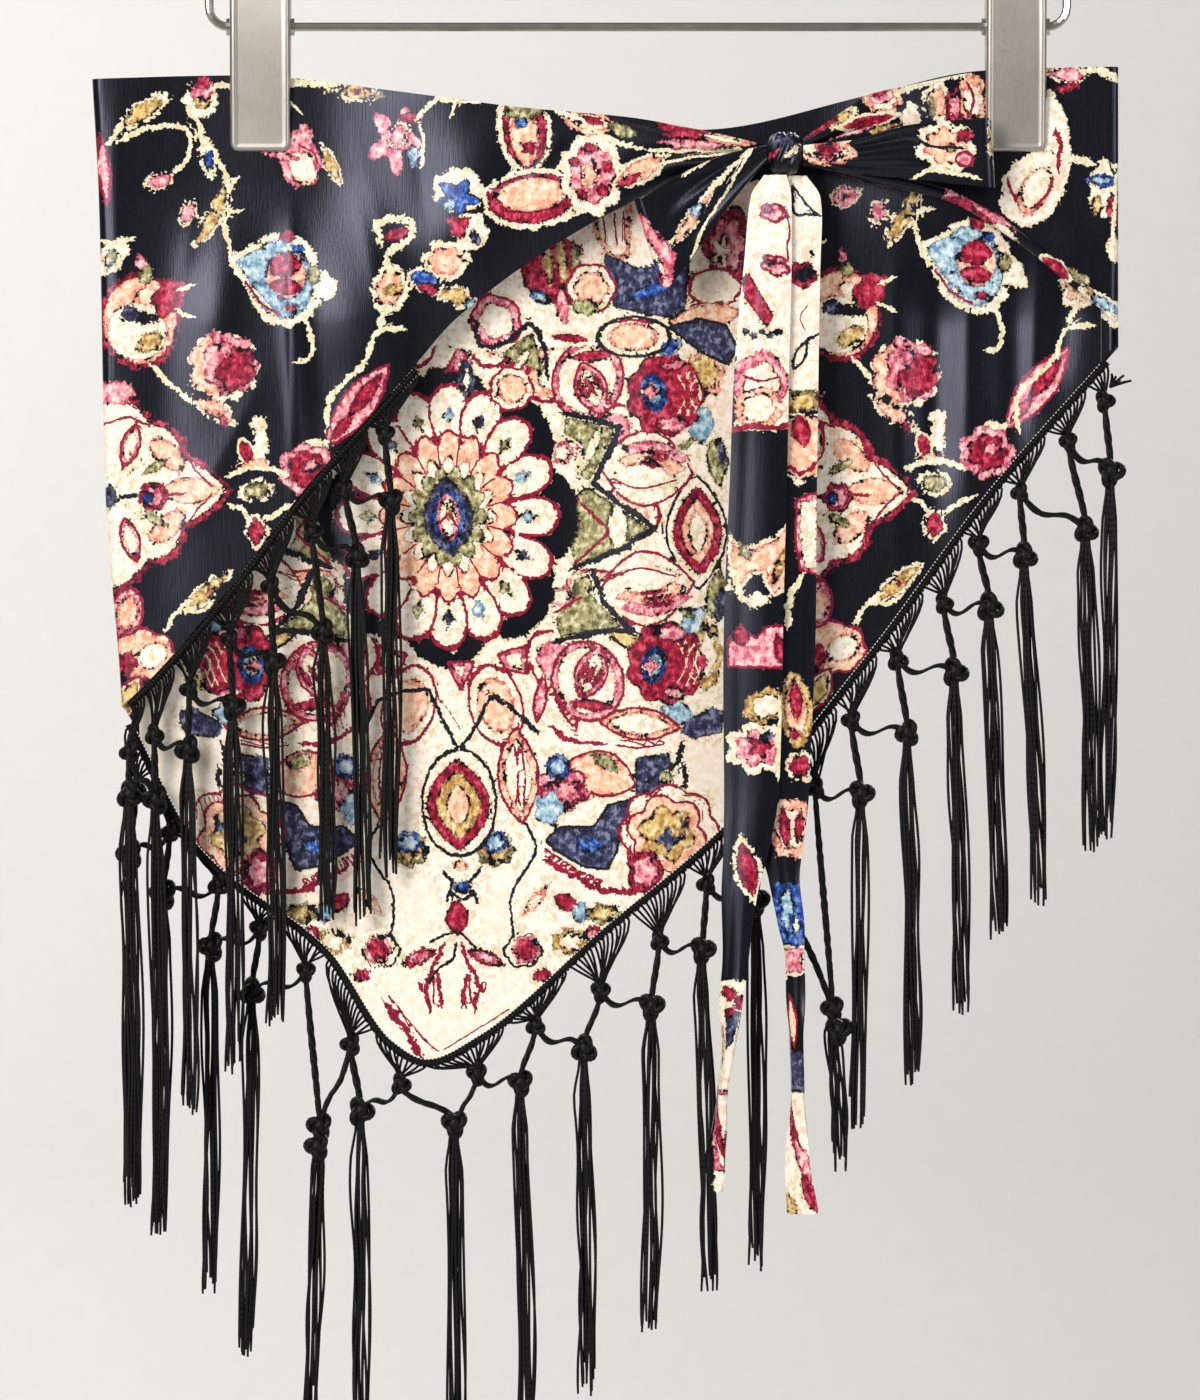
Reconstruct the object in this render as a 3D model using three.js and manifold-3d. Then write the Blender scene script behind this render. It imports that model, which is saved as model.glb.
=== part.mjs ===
// A fringed triangular hip scarf, tied at the front and hung from a metal clip hanger.
// Millimetres, +Z up, the front of the scarf faces -Y.
// The origin is inside the top of the hook, where a rail carries the hanger.
import * as THREE from "three";
import { mergeVertices } from "three/addons/utils/BufferGeometryUtils.js";
import Module from "manifold-3d";

const wasm = await Module();
wasm.setup();

// Cloth sizes
const CLOTH = 1.2; // wall of the doubled satin
const GAP = 0.3; // clearance where two pieces meet
const FOLD_RADIUS = 3; // side folds, to the middle of the wall
const WAIST_DEPTH = 8; // half the depth of the tube at the middle of the waist
const PINCH_DEPTH = 0.9; // half the depth of the tube between the jaws of a clip
const PINCH_REACH = 62; // how far from a clip the cloth takes to open again
const HANG_START = -300; // below this height the back panel swings towards the middle
const HANG_END = -573; // lowest point of the cloth
const HANG_SHARE = 0.5; // share of the depth that is lost down there
const SEAM_INSET = 6; // the side pieces end this far in from their fold, on the back
const CLOTH_LEFT = -218;
const CLOTH_RIGHT = 191.5;

// Knot of the tie
const KNOT = { x: 58.4, y: -14, z: -211.6, halfX: 7, halfY: 7.5, halfZ: 8.5 };
const FLAP_ROOT_Y = -10.5; // depth of both flaps where they enter the knot
const KNOT_REACH = 62; // length over which a flap comes forward to the knot

// Hanger
const WIRE = 1.8; // radius of the hanger's wire
const ROD_Z = -160; // height of the straight rod that carries the clips
const FRAME_HALF = 171.5; // half the distance between the frame's upright ends
const SHOULDER = { x: 155, z: -116 }; // where the sloping shoulder bends down
const COLLAR = { radius: 3.6, top: -66, bottom: -84 };
const HOOK = { radius: 21.8, centreZ: -20, stemZ: -66 };
const CLIP = { offset: 151, width: 24, bottom: -210, top: -136, sheet: 1.2, lip: 6 };
const BARREL = { outer: 3.5, inner: 2.1, overhang: 1.6 };

// Outlines of the cloth, a row for each point where an edge changes direction
const LEFT_FOLD = [
  { z: -640, x: -200 },
  { z: -431, x: -206 },
  { z: -345, x: -212.5 },
  { z: -232, x: -215 },
  { z: -176, x: -218 },
];
const LEFT_FLAP_TOP = [
  { x: -218, z: -181 },
  { x: -163, z: -179.5 },
  { x: -139, z: -180.5 },
  { x: -104, z: -185 },
  { x: -49, z: -192.5 },
  { x: -1.5, z: -197 },
  { x: 24, z: -202 },
  { x: 51.1, z: -208.5 },
];
const LEFT_FLAP_EDGE = [
  { x: -218, z: -440 },
  { x: -206, z: -431.5 },
  { x: -164, z: -385.5 },
  { x: -133, z: -345 },
  { x: -93.5, z: -301 },
  { x: -72, z: -276.5 },
  { x: -15, z: -237 },
  { x: 20, z: -221.5 },
  { x: 51.1, z: -215.5 },
];
const RIGHT_FLAP_TOP = [
  { x: 65.7, z: -206 },
  { x: 83, z: -194 },
  { x: 92, z: -188 },
  { x: 105, z: -184.5 },
  { x: 137, z: -178 },
  { x: 162, z: -176.5 },
  { x: 191.5, z: -176 },
];
const RIGHT_FLAP_EDGE = [
  { x: 65.7, z: -215.5 },
  { x: 93, z: -221 },
  { x: 121.5, z: -226.5 },
  { x: 151, z: -243.5 },
  { x: 175, z: -263 },
  { x: 191.5, z: -277 },
];
const BACK_TOP = [
  { x: -218, z: -181 },
  { x: -139, z: -180.5 },
  { x: -104, z: -186 },
  { x: -49, z: -194.5 },
  { x: -1.5, z: -199.5 },
  { x: 25, z: -200.5 },
  { x: 92, z: -187 },
  { x: 137, z: -177.5 },
  { x: 162, z: -176.5 },
  { x: 191.5, z: -176 },
];
const BACK_EDGE = [
  { x: -218, z: -412 },
  { x: -206, z: -431.5 },
  { x: -174.5, z: -489 },
  { x: -124, z: -529 },
  { x: -98, z: -566 },
  { x: -84.5, z: -573 },
  { x: -64.5, z: -564 },
  { x: -15, z: -521.5 },
  { x: 35, z: -479 },
  { x: 92, z: -410.5 },
  { x: 141, z: -344.5 },
  { x: 191.5, z: -287 },
];

// Soft folds, a row for each: from one point to another, how far it stands out and how wide it is
const FRONT_FOLDS = [
  { x1: -141, z1: -219, x2: -133, z2: -325, height: 1.3, width: 5 },
  { x1: -126, z1: -222, x2: -105, z2: -312, height: 2.4, width: 15 },
  { x1: -161, z1: -219, x2: -171, z2: -300, height: 1.4, width: 9 },
  { x1: -188, z1: -200, x2: -190, z2: -400, height: -1.2, width: 12 },
  { x1: -60, z1: -200, x2: -72, z2: -260, height: 1.5, width: 14 },
  { x1: 10, z1: -209, x2: -45, z2: -226, height: 1.6, width: 7 },
  { x1: 160, z1: -218, x2: 178, z2: -254, height: 1.4, width: 6 },
  { x1: 128, z1: -196, x2: 96, z2: -204, height: 1.2, width: 5 },
];
const BACK_FOLDS = [
  { x1: 119, z1: -246, x2: 117, z2: -372, height: -2.6, width: 9 },
  { x1: 149, z1: -236, x2: 150, z2: -344, height: -2.2, width: 9 },
  { x1: 171, z1: -262, x2: 166, z2: -312, height: -1.4, width: 7 },
  { x1: -20, z1: -260, x2: -34, z2: -470, height: -1.6, width: 20 },
  { x1: -96, z1: -330, x2: -90, z2: -520, height: 1.4, width: 18 },
  { x1: -160, z1: -226, x2: -172, z2: -420, height: 1.8, width: 14 },
  { x1: -136, z1: -226, x2: -124, z2: -400, height: -1.8, width: 14 },
];

// Ends of the tie, a row for each section: middle, width, depth and turn about the vertical
const FRONT_TAIL = [
  { z: -220.4, x: 54.5, width: 9, y: -17, turn: 0 },
  { z: -229, x: 52.8, width: 16, y: -17, turn: 0 },
  { z: -254, x: 51.6, width: 18.5, y: -17.5, turn: 0 },
  { z: -295, x: 49.2, width: 21.5, y: -17.5, turn: 0 },
  { z: -336, x: 48, width: 22.5, y: -17, turn: 4 },
  { z: -406, x: 45.8, width: 23.5, y: -16, turn: 6 },
  { z: -464, x: 45.2, width: 21.8, y: -15, turn: 6 },
  { z: -489, x: 43, width: 18, y: -15, turn: 5 },
  { z: -507, x: 40.3, width: 14, y: -15, turn: 8 },
  { z: -534, x: 38.8, width: 10.4, y: -15, turn: 18 },
  { z: -551, x: 37, width: 10, y: -15, turn: 30 },
  { z: -567, x: 36.2, width: 9.2, y: -15, turn: 62 },
  { z: -586, x: 33.6, width: 8.6, y: -15, turn: 68 },
  { z: -599, x: 32.6, width: 8.4, y: -15, turn: 52 },
  { z: -614, x: 30.6, width: 8, y: -15, turn: 16 },
  { z: -625, x: 32, width: 2.6, y: -15, turn: 10 },
];
const BACK_TAIL = [
  { z: -220.4, x: 63.6, width: 7, y: -12, turn: 0 },
  { z: -229, x: 64, width: 17, y: -12.5, turn: 0 },
  { z: -254, x: 62, width: 21, y: -13, turn: 0 },
  { z: -336, x: 60.4, width: 21.6, y: -13, turn: 0 },
  { z: -406, x: 59.2, width: 22.6, y: -12, turn: 0 },
  { z: -464, x: 57.4, width: 21.4, y: -11, turn: 0 },
  { z: -489, x: 57.2, width: 16.4, y: -11, turn: 0 },
  { z: -501, x: 58.2, width: 12, y: -11, turn: 0 },
  { z: -518, x: 61, width: 10.4, y: -11, turn: 10 },
  { z: -531, x: 62.6, width: 9, y: -11, turn: 40 },
  { z: -545, x: 63, width: 8.6, y: -11, turn: 34 },
  { z: -564, x: 63.2, width: 8.6, y: -11, turn: 58 },
  { z: -586, x: 63.7, width: 8.8, y: -11, turn: 60 },
  { z: -611, x: 63.6, width: 9.6, y: -11, turn: 20 },
  { z: -634, x: 65.7, width: 12.4, y: -11, turn: 0 },
];

// Loops of the bow, a row for each station: the upper and the lower edge of the band
const LEFT_LOOP = [
  { topX: 51.1, topZ: -208.6, lowX: 51.1, lowZ: -214.8 },
  { topX: 34, topZ: -212.6, lowX: 38.4, lowZ: -229.6 },
  { topX: 14, topZ: -222, lowX: 25, lowZ: -248 },
  { topX: 1.5, topZ: -230, lowX: 12.5, lowZ: -265 },
];
const RIGHT_LOOP = [
  { topX: 65.7, topZ: -208.6, lowX: 65.7, lowZ: -214.8 },
  { topX: 84, topZ: -207, lowX: 84, lowZ: -219.4 },
  { topX: 108, topZ: -200.6, lowX: 108, lowZ: -222 },
  { topX: 137, topZ: -198, lowX: 138.5, lowZ: -225.5 },
];
const LOOP = { frontRoot: -17.8, backRoot: -14.6, frontEnd: -21, backEnd: -15.2 };

// Fringe, a row for each tassel: its upper knot, its lower knot and where it ends
const LEFT_FLAP_FRINGE = [
  { upperX: -101, upperZ: -323, lowerX: -98.5, lowerZ: -350, endX: -99, endZ: -501 },
  { upperX: -117, upperZ: -345, lowerX: -112, lowerZ: -372, endX: -109.5, endZ: -520 },
  { upperX: -130, upperZ: -362, lowerX: -125.5, lowerZ: -402, endX: -124, endZ: -518 },
  { upperX: -146.5, upperZ: -384, lowerX: -145.5, lowerZ: -414, endX: -144.5, endZ: -560 },
  { upperX: -163, upperZ: -405, lowerX: -161.5, lowerZ: -432, endX: -161, endZ: -579 },
  { upperX: -179, upperZ: -425, lowerX: -179.5, lowerZ: -449, endX: -179, endZ: -595 },
  { upperX: -193, upperZ: -443, lowerX: -192.5, lowerZ: -469, endX: -190.5, endZ: -645 },
  { upperX: -203, upperZ: -450, lowerX: -203, lowerZ: -467, endX: -201, endZ: -629 },
];
const LEFT_HEM_FRINGE = [
  { upperX: -201, upperZ: -465, lowerX: -203.5, lowerZ: -491, endX: -203, endZ: -634 },
  { upperX: -187.5, upperZ: -482, lowerX: -190, lowerZ: -507, endX: -192, endZ: -645 },
  { upperX: -168, upperZ: -503, lowerX: -171, lowerZ: -528, endX: -171, endZ: -669 },
  { upperX: -151.5, upperZ: -521, lowerX: -154.5, lowerZ: -546, endX: -156.5, endZ: -693 },
  { upperX: -133, upperZ: -538, lowerX: -127.5, lowerZ: -600, endX: -131, endZ: -722 },
  { upperX: -115, upperZ: -567, lowerX: -111, lowerZ: -594, endX: -111, endZ: -735 },
  { upperX: -95, upperZ: -583, lowerX: -73.5, lowerZ: -599, endX: -73, endZ: -741 },
];
const RIGHT_HEM_FRINGE = [
  { upperX: 187, upperZ: -309.5, lowerX: 189.5, lowerZ: -338, endX: 188, endZ: -488 },
  { upperX: 172.5, upperZ: -326, lowerX: 179.5, lowerZ: -361, endX: 181.5, endZ: -492 },
  { upperX: 153, upperZ: -346, lowerX: 155, lowerZ: -371.5, endX: 161, endZ: -513.5 },
  { upperX: 136.5, upperZ: -367, lowerX: 141, lowerZ: -392, endX: 145, endZ: -525.5 },
  { upperX: 122.5, upperZ: -390.5, lowerX: 127, lowerZ: -418, endX: 130, endZ: -557 },
  { upperX: 104, upperZ: -413, lowerX: 108, lowerZ: -442.5, endX: 110.5, endZ: -585 },
  { upperX: 85.5, upperZ: -437.5, lowerX: 89.5, lowerZ: -467, endX: 88, endZ: -602.5 },
  { upperX: 71, upperZ: -464.5, lowerX: 78, lowerZ: -553, endX: 81, endZ: -619 },
  { upperX: 50, upperZ: -485, lowerX: 47.5, lowerZ: -510, endX: 47.5, endZ: -659 },
  { upperX: 27.5, upperZ: -503, lowerX: 26, lowerZ: -529.5, endX: 29, endZ: -668 },
  { upperX: 8.5, upperZ: -525.5, lowerX: 5.5, lowerZ: -552, endX: 5, endZ: -685 },
  { upperX: -15, upperZ: -546, lowerX: -21.5, lowerZ: -569, endX: -20, endZ: -708 },
  { upperX: -41, upperZ: -559.5, lowerX: -47, lowerZ: -582.5, endX: -44.5, endZ: -728 },
];
const STRIP = { width: 2.6, thick: 1.6 }; // bound edge that carries a fringe
const FAN_SPREAD = 10; // how far along the edge the threads of one upper knot are gathered from
const UPPER_KNOT = 3.4;
const LOWER_KNOT = 4.5;
const THREADS = 1.1; // radius of a gathered bundle of threads
const LOCK = 1.5; // radius of one lock of a tassel
const LOCK_SPACING = 3.4;
const LOCK_END = 1.2; // its radius at the cut end
const LOCK_SHORTER = 7; // one lock of each tassel ends this much higher
const FRONT_FRINGE_Y = -8.2; // the flap's fringe hangs in front of the back panel
const BACK_FRINGE_Y = 4; // the hem's fringe hangs straight below the back panel
const APEX_X = -84.5; // lowest corner of the cloth, where the two hem fringes meet

const SATIN = { color: 0x23242c, roughness: 0.35, metalness: 0 };
const CREAM_SATIN = { color: 0xd9b9a0, roughness: 0.35, metalness: 0 };
const RAYON = { color: 0x0b0b0c, roughness: 0.6, metalness: 0 };
const STEEL = { color: 0xa9a6a3, roughness: 0.35, metalness: 1 };

const clamp01 = (value) => Math.min(1, Math.max(0, value));
const mix = (a, b, share) => a + (b - a) * share;
const smooth = (from, to, value) => {
  const share = clamp01((value - from) / (to - from));
  return share * share * (3 - 2 * share);
};
const steps = (count) => Array.from({ length: count + 1 }, (_, i) => i / count);

// The value of one column of a table at a value of another, joined by smooth curves without overshoot.
function lookUp(table, key, column, value) {
  const rows = [...table].sort((a, b) => a[key] - b[key]);
  const last = rows.length - 1;
  if (value <= rows[0][key]) return rows[0][column];
  if (value >= rows[last][key]) return rows[last][column];
  const i = rows.findIndex((row) => row[key] > value) - 1;
  const slope = (k) => (rows[k + 1][column] - rows[k][column]) / (rows[k + 1][key] - rows[k][key]);
  const slopeAt = (k) => {
    if (k === 0) return slope(0);
    if (k === last) return slope(last - 1);
    const before = slope(k - 1);
    const after = slope(k);
    return before * after <= 0 ? 0 : (2 * before * after) / (before + after);
  };
  const span = rows[i + 1][key] - rows[i][key];
  const t = (value - rows[i][key]) / span;
  const rise = rows[i + 1][column] - rows[i][column];
  const start = slopeAt(i) * span;
  const end = slopeAt(i + 1) * span;
  return (
    rows[i][column] + start * t + (3 * rise - 2 * start - end) * t * t + (start + end - 2 * rise) * t * t * t
  );
}

// Half the depth of the flat tube: open in the middle, narrow at the folds, pinched at the clips.
function halfDepth(x, z) {
  const centre = (CLOTH_LEFT + CLOTH_RIGHT) / 2;
  const across = clamp01(Math.abs(x - centre) / ((CLOTH_RIGHT - CLOTH_LEFT) / 2));
  const lens = FOLD_RADIUS + (WAIST_DEPTH - FOLD_RADIUS) * (1 - across * across) ** 0.8;
  const hang = 1 - HANG_SHARE * smooth(HANG_START, HANG_END, z);
  return mix(PINCH_DEPTH, Math.max(lens * hang, FOLD_RADIUS), freedom(x, z));
}

// 0 between the jaws of a clip, 1 where the clips no longer hold the cloth.
function freedom(x, z) {
  const margin = 8;
  const free = (clipX) => {
    const aside = Math.max(0, Math.abs(x - clipX) - CLIP.width / 2 - margin);
    const below = Math.max(0, CLIP.bottom - margin - z);
    return smooth(0, PINCH_REACH, Math.hypot(aside, below));
  };
  return Math.min(free(-CLIP.offset), free(CLIP.offset));
}

// The sum of the soft folds at one place, each a rounded ridge that fades at both ends.
function foldHeight(folds, x, z) {
  let height = 0;
  for (const fold of folds) {
    const lengthX = fold.x2 - fold.x1;
    const lengthZ = fold.z2 - fold.z1;
    const length = Math.hypot(lengthX, lengthZ);
    const t = ((x - fold.x1) * lengthX + (z - fold.z1) * lengthZ) / (length * length);
    const off = ((x - fold.x1) * lengthZ - (z - fold.z1) * lengthX) / length;
    const ends = smooth(-0.15, 0.3, t) * (1 - smooth(0.6, 1.15, t));
    height += fold.height * ends * Math.exp(-((off / fold.width) ** 2));
  }
  return height * freedom(x, z);
}

const backY = (x, z) => halfDepth(x, z) - foldHeight(BACK_FOLDS, x, z);

// Depth of a front flap, which comes forward and gathers in pleats where it enters the knot.
function frontY(x, z, share, side) {
  const near = 1 - smooth(0, KNOT_REACH, Math.abs(x - side.rootX));
  const open = -halfDepth(x, z) - foldHeight(FRONT_FOLDS, x, z);
  const height = side.pleatHeight * near * (1 - 0.35 * near);
  return mix(open, FLAP_ROOT_Y, near) + height * Math.sin(2 * Math.PI * side.pleats * share);
}

// A closed wall: a grid of middle points, moved half the thickness to each side along its normals.
function wall(grid, thickness = CLOTH) {
  const columns = grid.length;
  const rows = grid[0].length;
  const at = (i, j) => grid[Math.min(columns - 1, Math.max(0, i))][Math.min(rows - 1, Math.max(0, j))];
  const normal = (i, j) => {
    const along = at(i + 1, j).clone().sub(at(i - 1, j));
    const down = at(i, j + 1).clone().sub(at(i, j - 1));
    return along.cross(down).normalize();
  };
  const positions = [];
  for (const side of [0.5, -0.5]) {
    for (let i = 0; i < columns; i++) {
      for (let j = 0; j < rows; j++) {
        const point = at(i, j).clone().addScaledVector(normal(i, j), side * thickness);
        positions.push(point.x, point.y, point.z);
      }
    }
  }
  const outer = (i, j) => i * rows + j;
  const inner = (i, j) => columns * rows + i * rows + j;
  const index = [];
  const quad = (a, b, c, d) => index.push(a, b, c, a, c, d);
  for (let i = 0; i < columns - 1; i++) {
    for (let j = 0; j < rows - 1; j++) {
      quad(outer(i, j), outer(i + 1, j), outer(i + 1, j + 1), outer(i, j + 1));
      quad(inner(i, j), inner(i, j + 1), inner(i + 1, j + 1), inner(i + 1, j));
    }
    quad(outer(i, 0), inner(i, 0), inner(i + 1, 0), outer(i + 1, 0));
    quad(outer(i, rows - 1), outer(i + 1, rows - 1), inner(i + 1, rows - 1), inner(i, rows - 1));
  }
  for (let j = 0; j < rows - 1; j++) {
    quad(outer(0, j), outer(0, j + 1), inner(0, j + 1), inner(0, j));
    quad(outer(columns - 1, j), inner(columns - 1, j), inner(columns - 1, j + 1), outer(columns - 1, j + 1));
  }
  return meshGeometry(positions, index);
}

function meshGeometry(positions, index) {
  const geometry = new THREE.BufferGeometry();
  geometry.setAttribute("position", new THREE.Float32BufferAttribute(positions, 3));
  geometry.setIndex(index);
  geometry.computeVertexNormals();
  return geometry;
}

// Shares from 0 to 1 whose steps grow from one end, so that a gathered end has more sections.
const eased = (count, power) => steps(count).map((share) => share ** power);

// One vertical section of a flap or panel, from its upper to its lower edge.
// place(z) gives the section's x at a height, depth(x, z, share) gives its y.
function section(top, edge, place, depth, shares) {
  const heightOf = (table) => {
    let z = lookUp(table, "x", "z", place(-300));
    for (let round = 0; round < 6; round++) z = lookUp(table, "x", "z", place(z));
    return z;
  };
  const topZ = heightOf(top);
  const lowZ = heightOf(edge);
  return shares.map((share) => {
    const z = mix(topZ, lowZ, share);
    const x = place(z);
    return new THREE.Vector3(x, depth(x, z, share), z);
  });
}

const leftFoldX = (z) => lookUp(LEFT_FOLD, "z", "x", z);
const rightFoldX = () => CLOTH_RIGHT;

// The sections of a side fold, from the back seam round to the front. sign is -1 on the left.
function foldSections(foldX, sign, top, frontEdge, shares) {
  const inward = (z, distance) => foldX(z) - sign * distance;
  const turns = [1, 0.67, 0.33, 0, -0.33, -0.67, -1];
  const strip = section(top, BACK_EDGE, (z) => inward(z, SEAM_INSET), backY, shares);
  const round = turns.map((turn) => {
    const angle = (turn * Math.PI) / 2;
    const place = (z) => inward(z, FOLD_RADIUS * (1 - Math.cos(angle)));
    const depth = (x, z) => Math.sin(angle) * halfDepth(inward(z, FOLD_RADIUS), z);
    const edge = turn >= 0 ? BACK_EDGE : frontEdge;
    return section(top, edge, place, depth, shares);
  });
  return [strip, ...round];
}

function leftFlapColumns() {
  const side = { rootX: KNOT.x - KNOT.halfX - GAP, pleats: 2.5, pleatHeight: 1.5 };
  const shares = steps(10);
  const front = eased(21, 0.8)
    .slice(1)
    .map((share) => {
      const place = (z) => mix(leftFoldX(z) + FOLD_RADIUS, side.rootX, share);
      const depth = (x, z, down) => frontY(x, z, down, side);
      return section(LEFT_FLAP_TOP, LEFT_FLAP_EDGE, place, depth, shares);
    });
  return [...foldSections(leftFoldX, -1, LEFT_FLAP_TOP, LEFT_FLAP_EDGE, shares), ...front];
}

// The right flap's lower edge is rolled forward into a soft cord.
function rolled(column, x) {
  const last = column[column.length - 1];
  const before = column[column.length - 2];
  const down = last.clone().sub(before).normalize();
  const out = new THREE.Vector3(0, -1, 0);
  const radius = mix(1, 2.1, smooth(70, 105, x)) * (1 - 0.5 * smooth(172, 188, x));
  const turn = 4.2 * (1 - 0.7 * smooth(176, 189, x));
  const roll = steps(5)
    .slice(1)
    .map((share) => {
      const angle = turn * share;
      return last
        .clone()
        .addScaledVector(down, radius * Math.sin(angle))
        .addScaledVector(out, radius * (1 - Math.cos(angle)));
    });
  return [...column, ...roll];
}

function rightFlap() {
  const side = { rootX: KNOT.x + KNOT.halfX + GAP, pleats: 3, pleatHeight: 1.5 };
  const shares = steps(7);
  const front = eased(17, 1.2)
    .slice(0, -1)
    .map((share) => {
      const place = () => mix(side.rootX, CLOTH_RIGHT - FOLD_RADIUS, share);
      const depth = (x, z, down) => frontY(x, z, down, side);
      return section(RIGHT_FLAP_TOP, RIGHT_FLAP_EDGE, place, depth, shares);
    });
  const fold = foldSections(rightFoldX, 1, RIGHT_FLAP_TOP, RIGHT_FLAP_EDGE, shares).reverse();
  const columns = [...front, ...fold];
  return wall(columns.map((column) => rolled(column, column[column.length - 1].x)).reverse());
}

function backPanelColumns() {
  const shares = steps(14);
  return steps(32).map((share) => {
    const place = (z) => {
      const left = leftFoldX(z) + SEAM_INSET + GAP;
      return mix(left, CLOTH_RIGHT - SEAM_INSET - GAP, share);
    };
    return section(BACK_TOP, BACK_EDGE, place, backY, shares);
  });
}

// A tail of the tie: each section is a slightly cupped line, turned about the vertical.
function tail(rows) {
  const bottom = rows[rows.length - 1].z;
  const columns = steps(4).map((across) =>
    steps(30).map((down) => {
      const z = mix(rows[0].z, bottom, down);
      const value = (column) => lookUp(rows, "z", column, z);
      const offset = (across - 0.5) * value("width");
      const cup = 1.1 * (1 - (2 * across - 1) ** 2) * smooth(rows[0].z, rows[0].z - 20, z);
      const turn = THREE.MathUtils.degToRad(value("turn"));
      const x = value("x") + offset * Math.cos(turn) - cup * Math.sin(turn);
      const y = value("y") - offset * Math.sin(turn) - cup * Math.cos(turn);
      return new THREE.Vector3(x, y, z);
    }),
  );
  return wall(columns);
}

// A loop of the bow: one band of cloth that runs out in front, turns and comes back behind.
function bowLoop(stations, outward) {
  const last = stations.length - 1;
  const rows = stations.map((row, i) => ({ ...row, at: i / last }));
  const path = [
    ...steps(8).map((share) => ({ share, front: 1, swing: 0 })),
    ...[-60, -30, 0, 30, 60].map((angle) => ({ share: 1, front: 0, swing: angle })),
    ...steps(8).map((share) => ({ share: 1 - share, front: -1, swing: 0 })),
  ];
  const columns = path.map(({ share, front, swing }) =>
    steps(6).map((across) => {
      const value = (column) => lookUp(rows, "at", column, share);
      const middle = (mix(LOOP.frontRoot, LOOP.frontEnd, share) + mix(LOOP.backRoot, LOOP.backEnd, share)) / 2;
      const half = (mix(LOOP.backRoot, LOOP.backEnd, share) - mix(LOOP.frontRoot, LOOP.frontEnd, share)) / 2;
      const angle = THREE.MathUtils.degToRad(swing);
      const reach = front === 0 ? half * Math.cos(angle) : 0;
      const depth = front === 0 ? Math.sin(angle) * half : -front * half;
      const pleat = 0.8 * Math.sin(Math.PI * 3 * across) * Math.sin(Math.PI * clamp01(share * 1.1 + 0.05));
      const x = mix(value("topX"), value("lowX"), across) + outward * reach;
      const z = mix(value("topZ"), value("lowZ"), across);
      return new THREE.Vector3(x, middle + depth + pleat, z);
    }),
  );
  return wall(outward > 0 ? columns.reverse() : columns);
}

// The knot: a rounded block, with the slanting band of cloth that wraps it raised on its surface.
function knot() {
  const geometry = new THREE.SphereGeometry(1, 16, 10);
  const position = geometry.attributes.position;
  const point = new THREE.Vector3();
  const power = 3;
  for (let i = 0; i < position.count; i++) {
    point.fromBufferAttribute(position, i);
    const sum = Math.abs(point.x) ** power + Math.abs(point.y) ** power + Math.abs(point.z) ** power;
    const groove = 1 - 0.07 * Math.exp(-(((point.x * 0.7 - point.z * 0.5) / 0.16) ** 2));
    point.multiplyScalar(groove / sum ** (1 / power));
    point.multiply(new THREE.Vector3(KNOT.halfX, KNOT.halfY, KNOT.halfZ));
    position.setXYZ(i, point.x, point.y, point.z);
  }
  return geometry.translate(KNOT.x, KNOT.y, KNOT.z);
}

function toSolid(geometry) {
  const bare = geometry.clone();
  bare.deleteAttribute("normal");
  bare.deleteAttribute("uv");
  const merged = mergeVertices(bare, 1e-4);
  return new wasm.Manifold(
    new wasm.Mesh({
      numProp: 3,
      vertProperties: merged.attributes.position.array,
      triVerts: new Uint32Array(merged.index.array),
    }),
  );
}

function fromSolid(solid) {
  const mesh = solid.getMesh();
  return meshGeometry(Array.from(mesh.vertProperties), Array.from(mesh.triVerts));
}

const join = (geometries) => fromSolid(wasm.Manifold.union(geometries.map(toSolid)));

// A bundle of threads: rings of a few sides along hand-set points, each with its own radius.
function strand(points, sides) {
  const positions = [];
  const index = [];
  points.forEach((point, i) => {
    const before = points[Math.max(0, i - 1)];
    const after = points[Math.min(points.length - 1, i + 1)];
    const way = new THREE.Vector3(after.x - before.x, after.y - before.y, after.z - before.z).normalize();
    const across = new THREE.Vector3(0, 1, 0).cross(way).normalize();
    const out = way.clone().cross(across);
    for (let k = 0; k < sides; k++) {
      const angle = (2 * Math.PI * (k + 0.5)) / sides;
      const corner = new THREE.Vector3(point.x, point.y, point.z)
        .addScaledVector(across, point.radius * Math.cos(angle))
        .addScaledVector(out, point.radius * Math.sin(angle));
      positions.push(corner.x, corner.y, corner.z);
    }
  });
  const rings = points.length;
  for (let i = 0; i < rings - 1; i++) {
    for (let k = 0; k < sides; k++) {
      const next = (k + 1) % sides;
      const a = i * sides + k;
      const b = i * sides + next;
      index.push(a, b, b + sides, a, b + sides, a + sides);
    }
  }
  for (let k = 1; k < sides - 1; k++) {
    index.push(0, k + 1, k);
    const end = (rings - 1) * sides;
    index.push(end, end + k, end + k + 1);
  }
  return meshGeometry(positions, index);
}

// The narrow bound strip that carries a fringe, made from a panel's own edge points, moved out.
function edgeStrip(points) {
  const last = points.length - 1;
  const columns = points.map((point, i) => {
    const way = points[Math.min(last, i + 1)].clone().sub(points[Math.max(0, i - 1)]);
    const outward = new THREE.Vector3(way.z, 0, -way.x).normalize();
    if (i === 0 || i === last) outward.set(0, 0, 1 / outward.z); // an upright cut at both ends
    return [GAP, GAP + STRIP.width].map((off) => point.clone().addScaledVector(outward, off));
  });
  return wall(columns, STRIP.thick);
}

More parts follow.
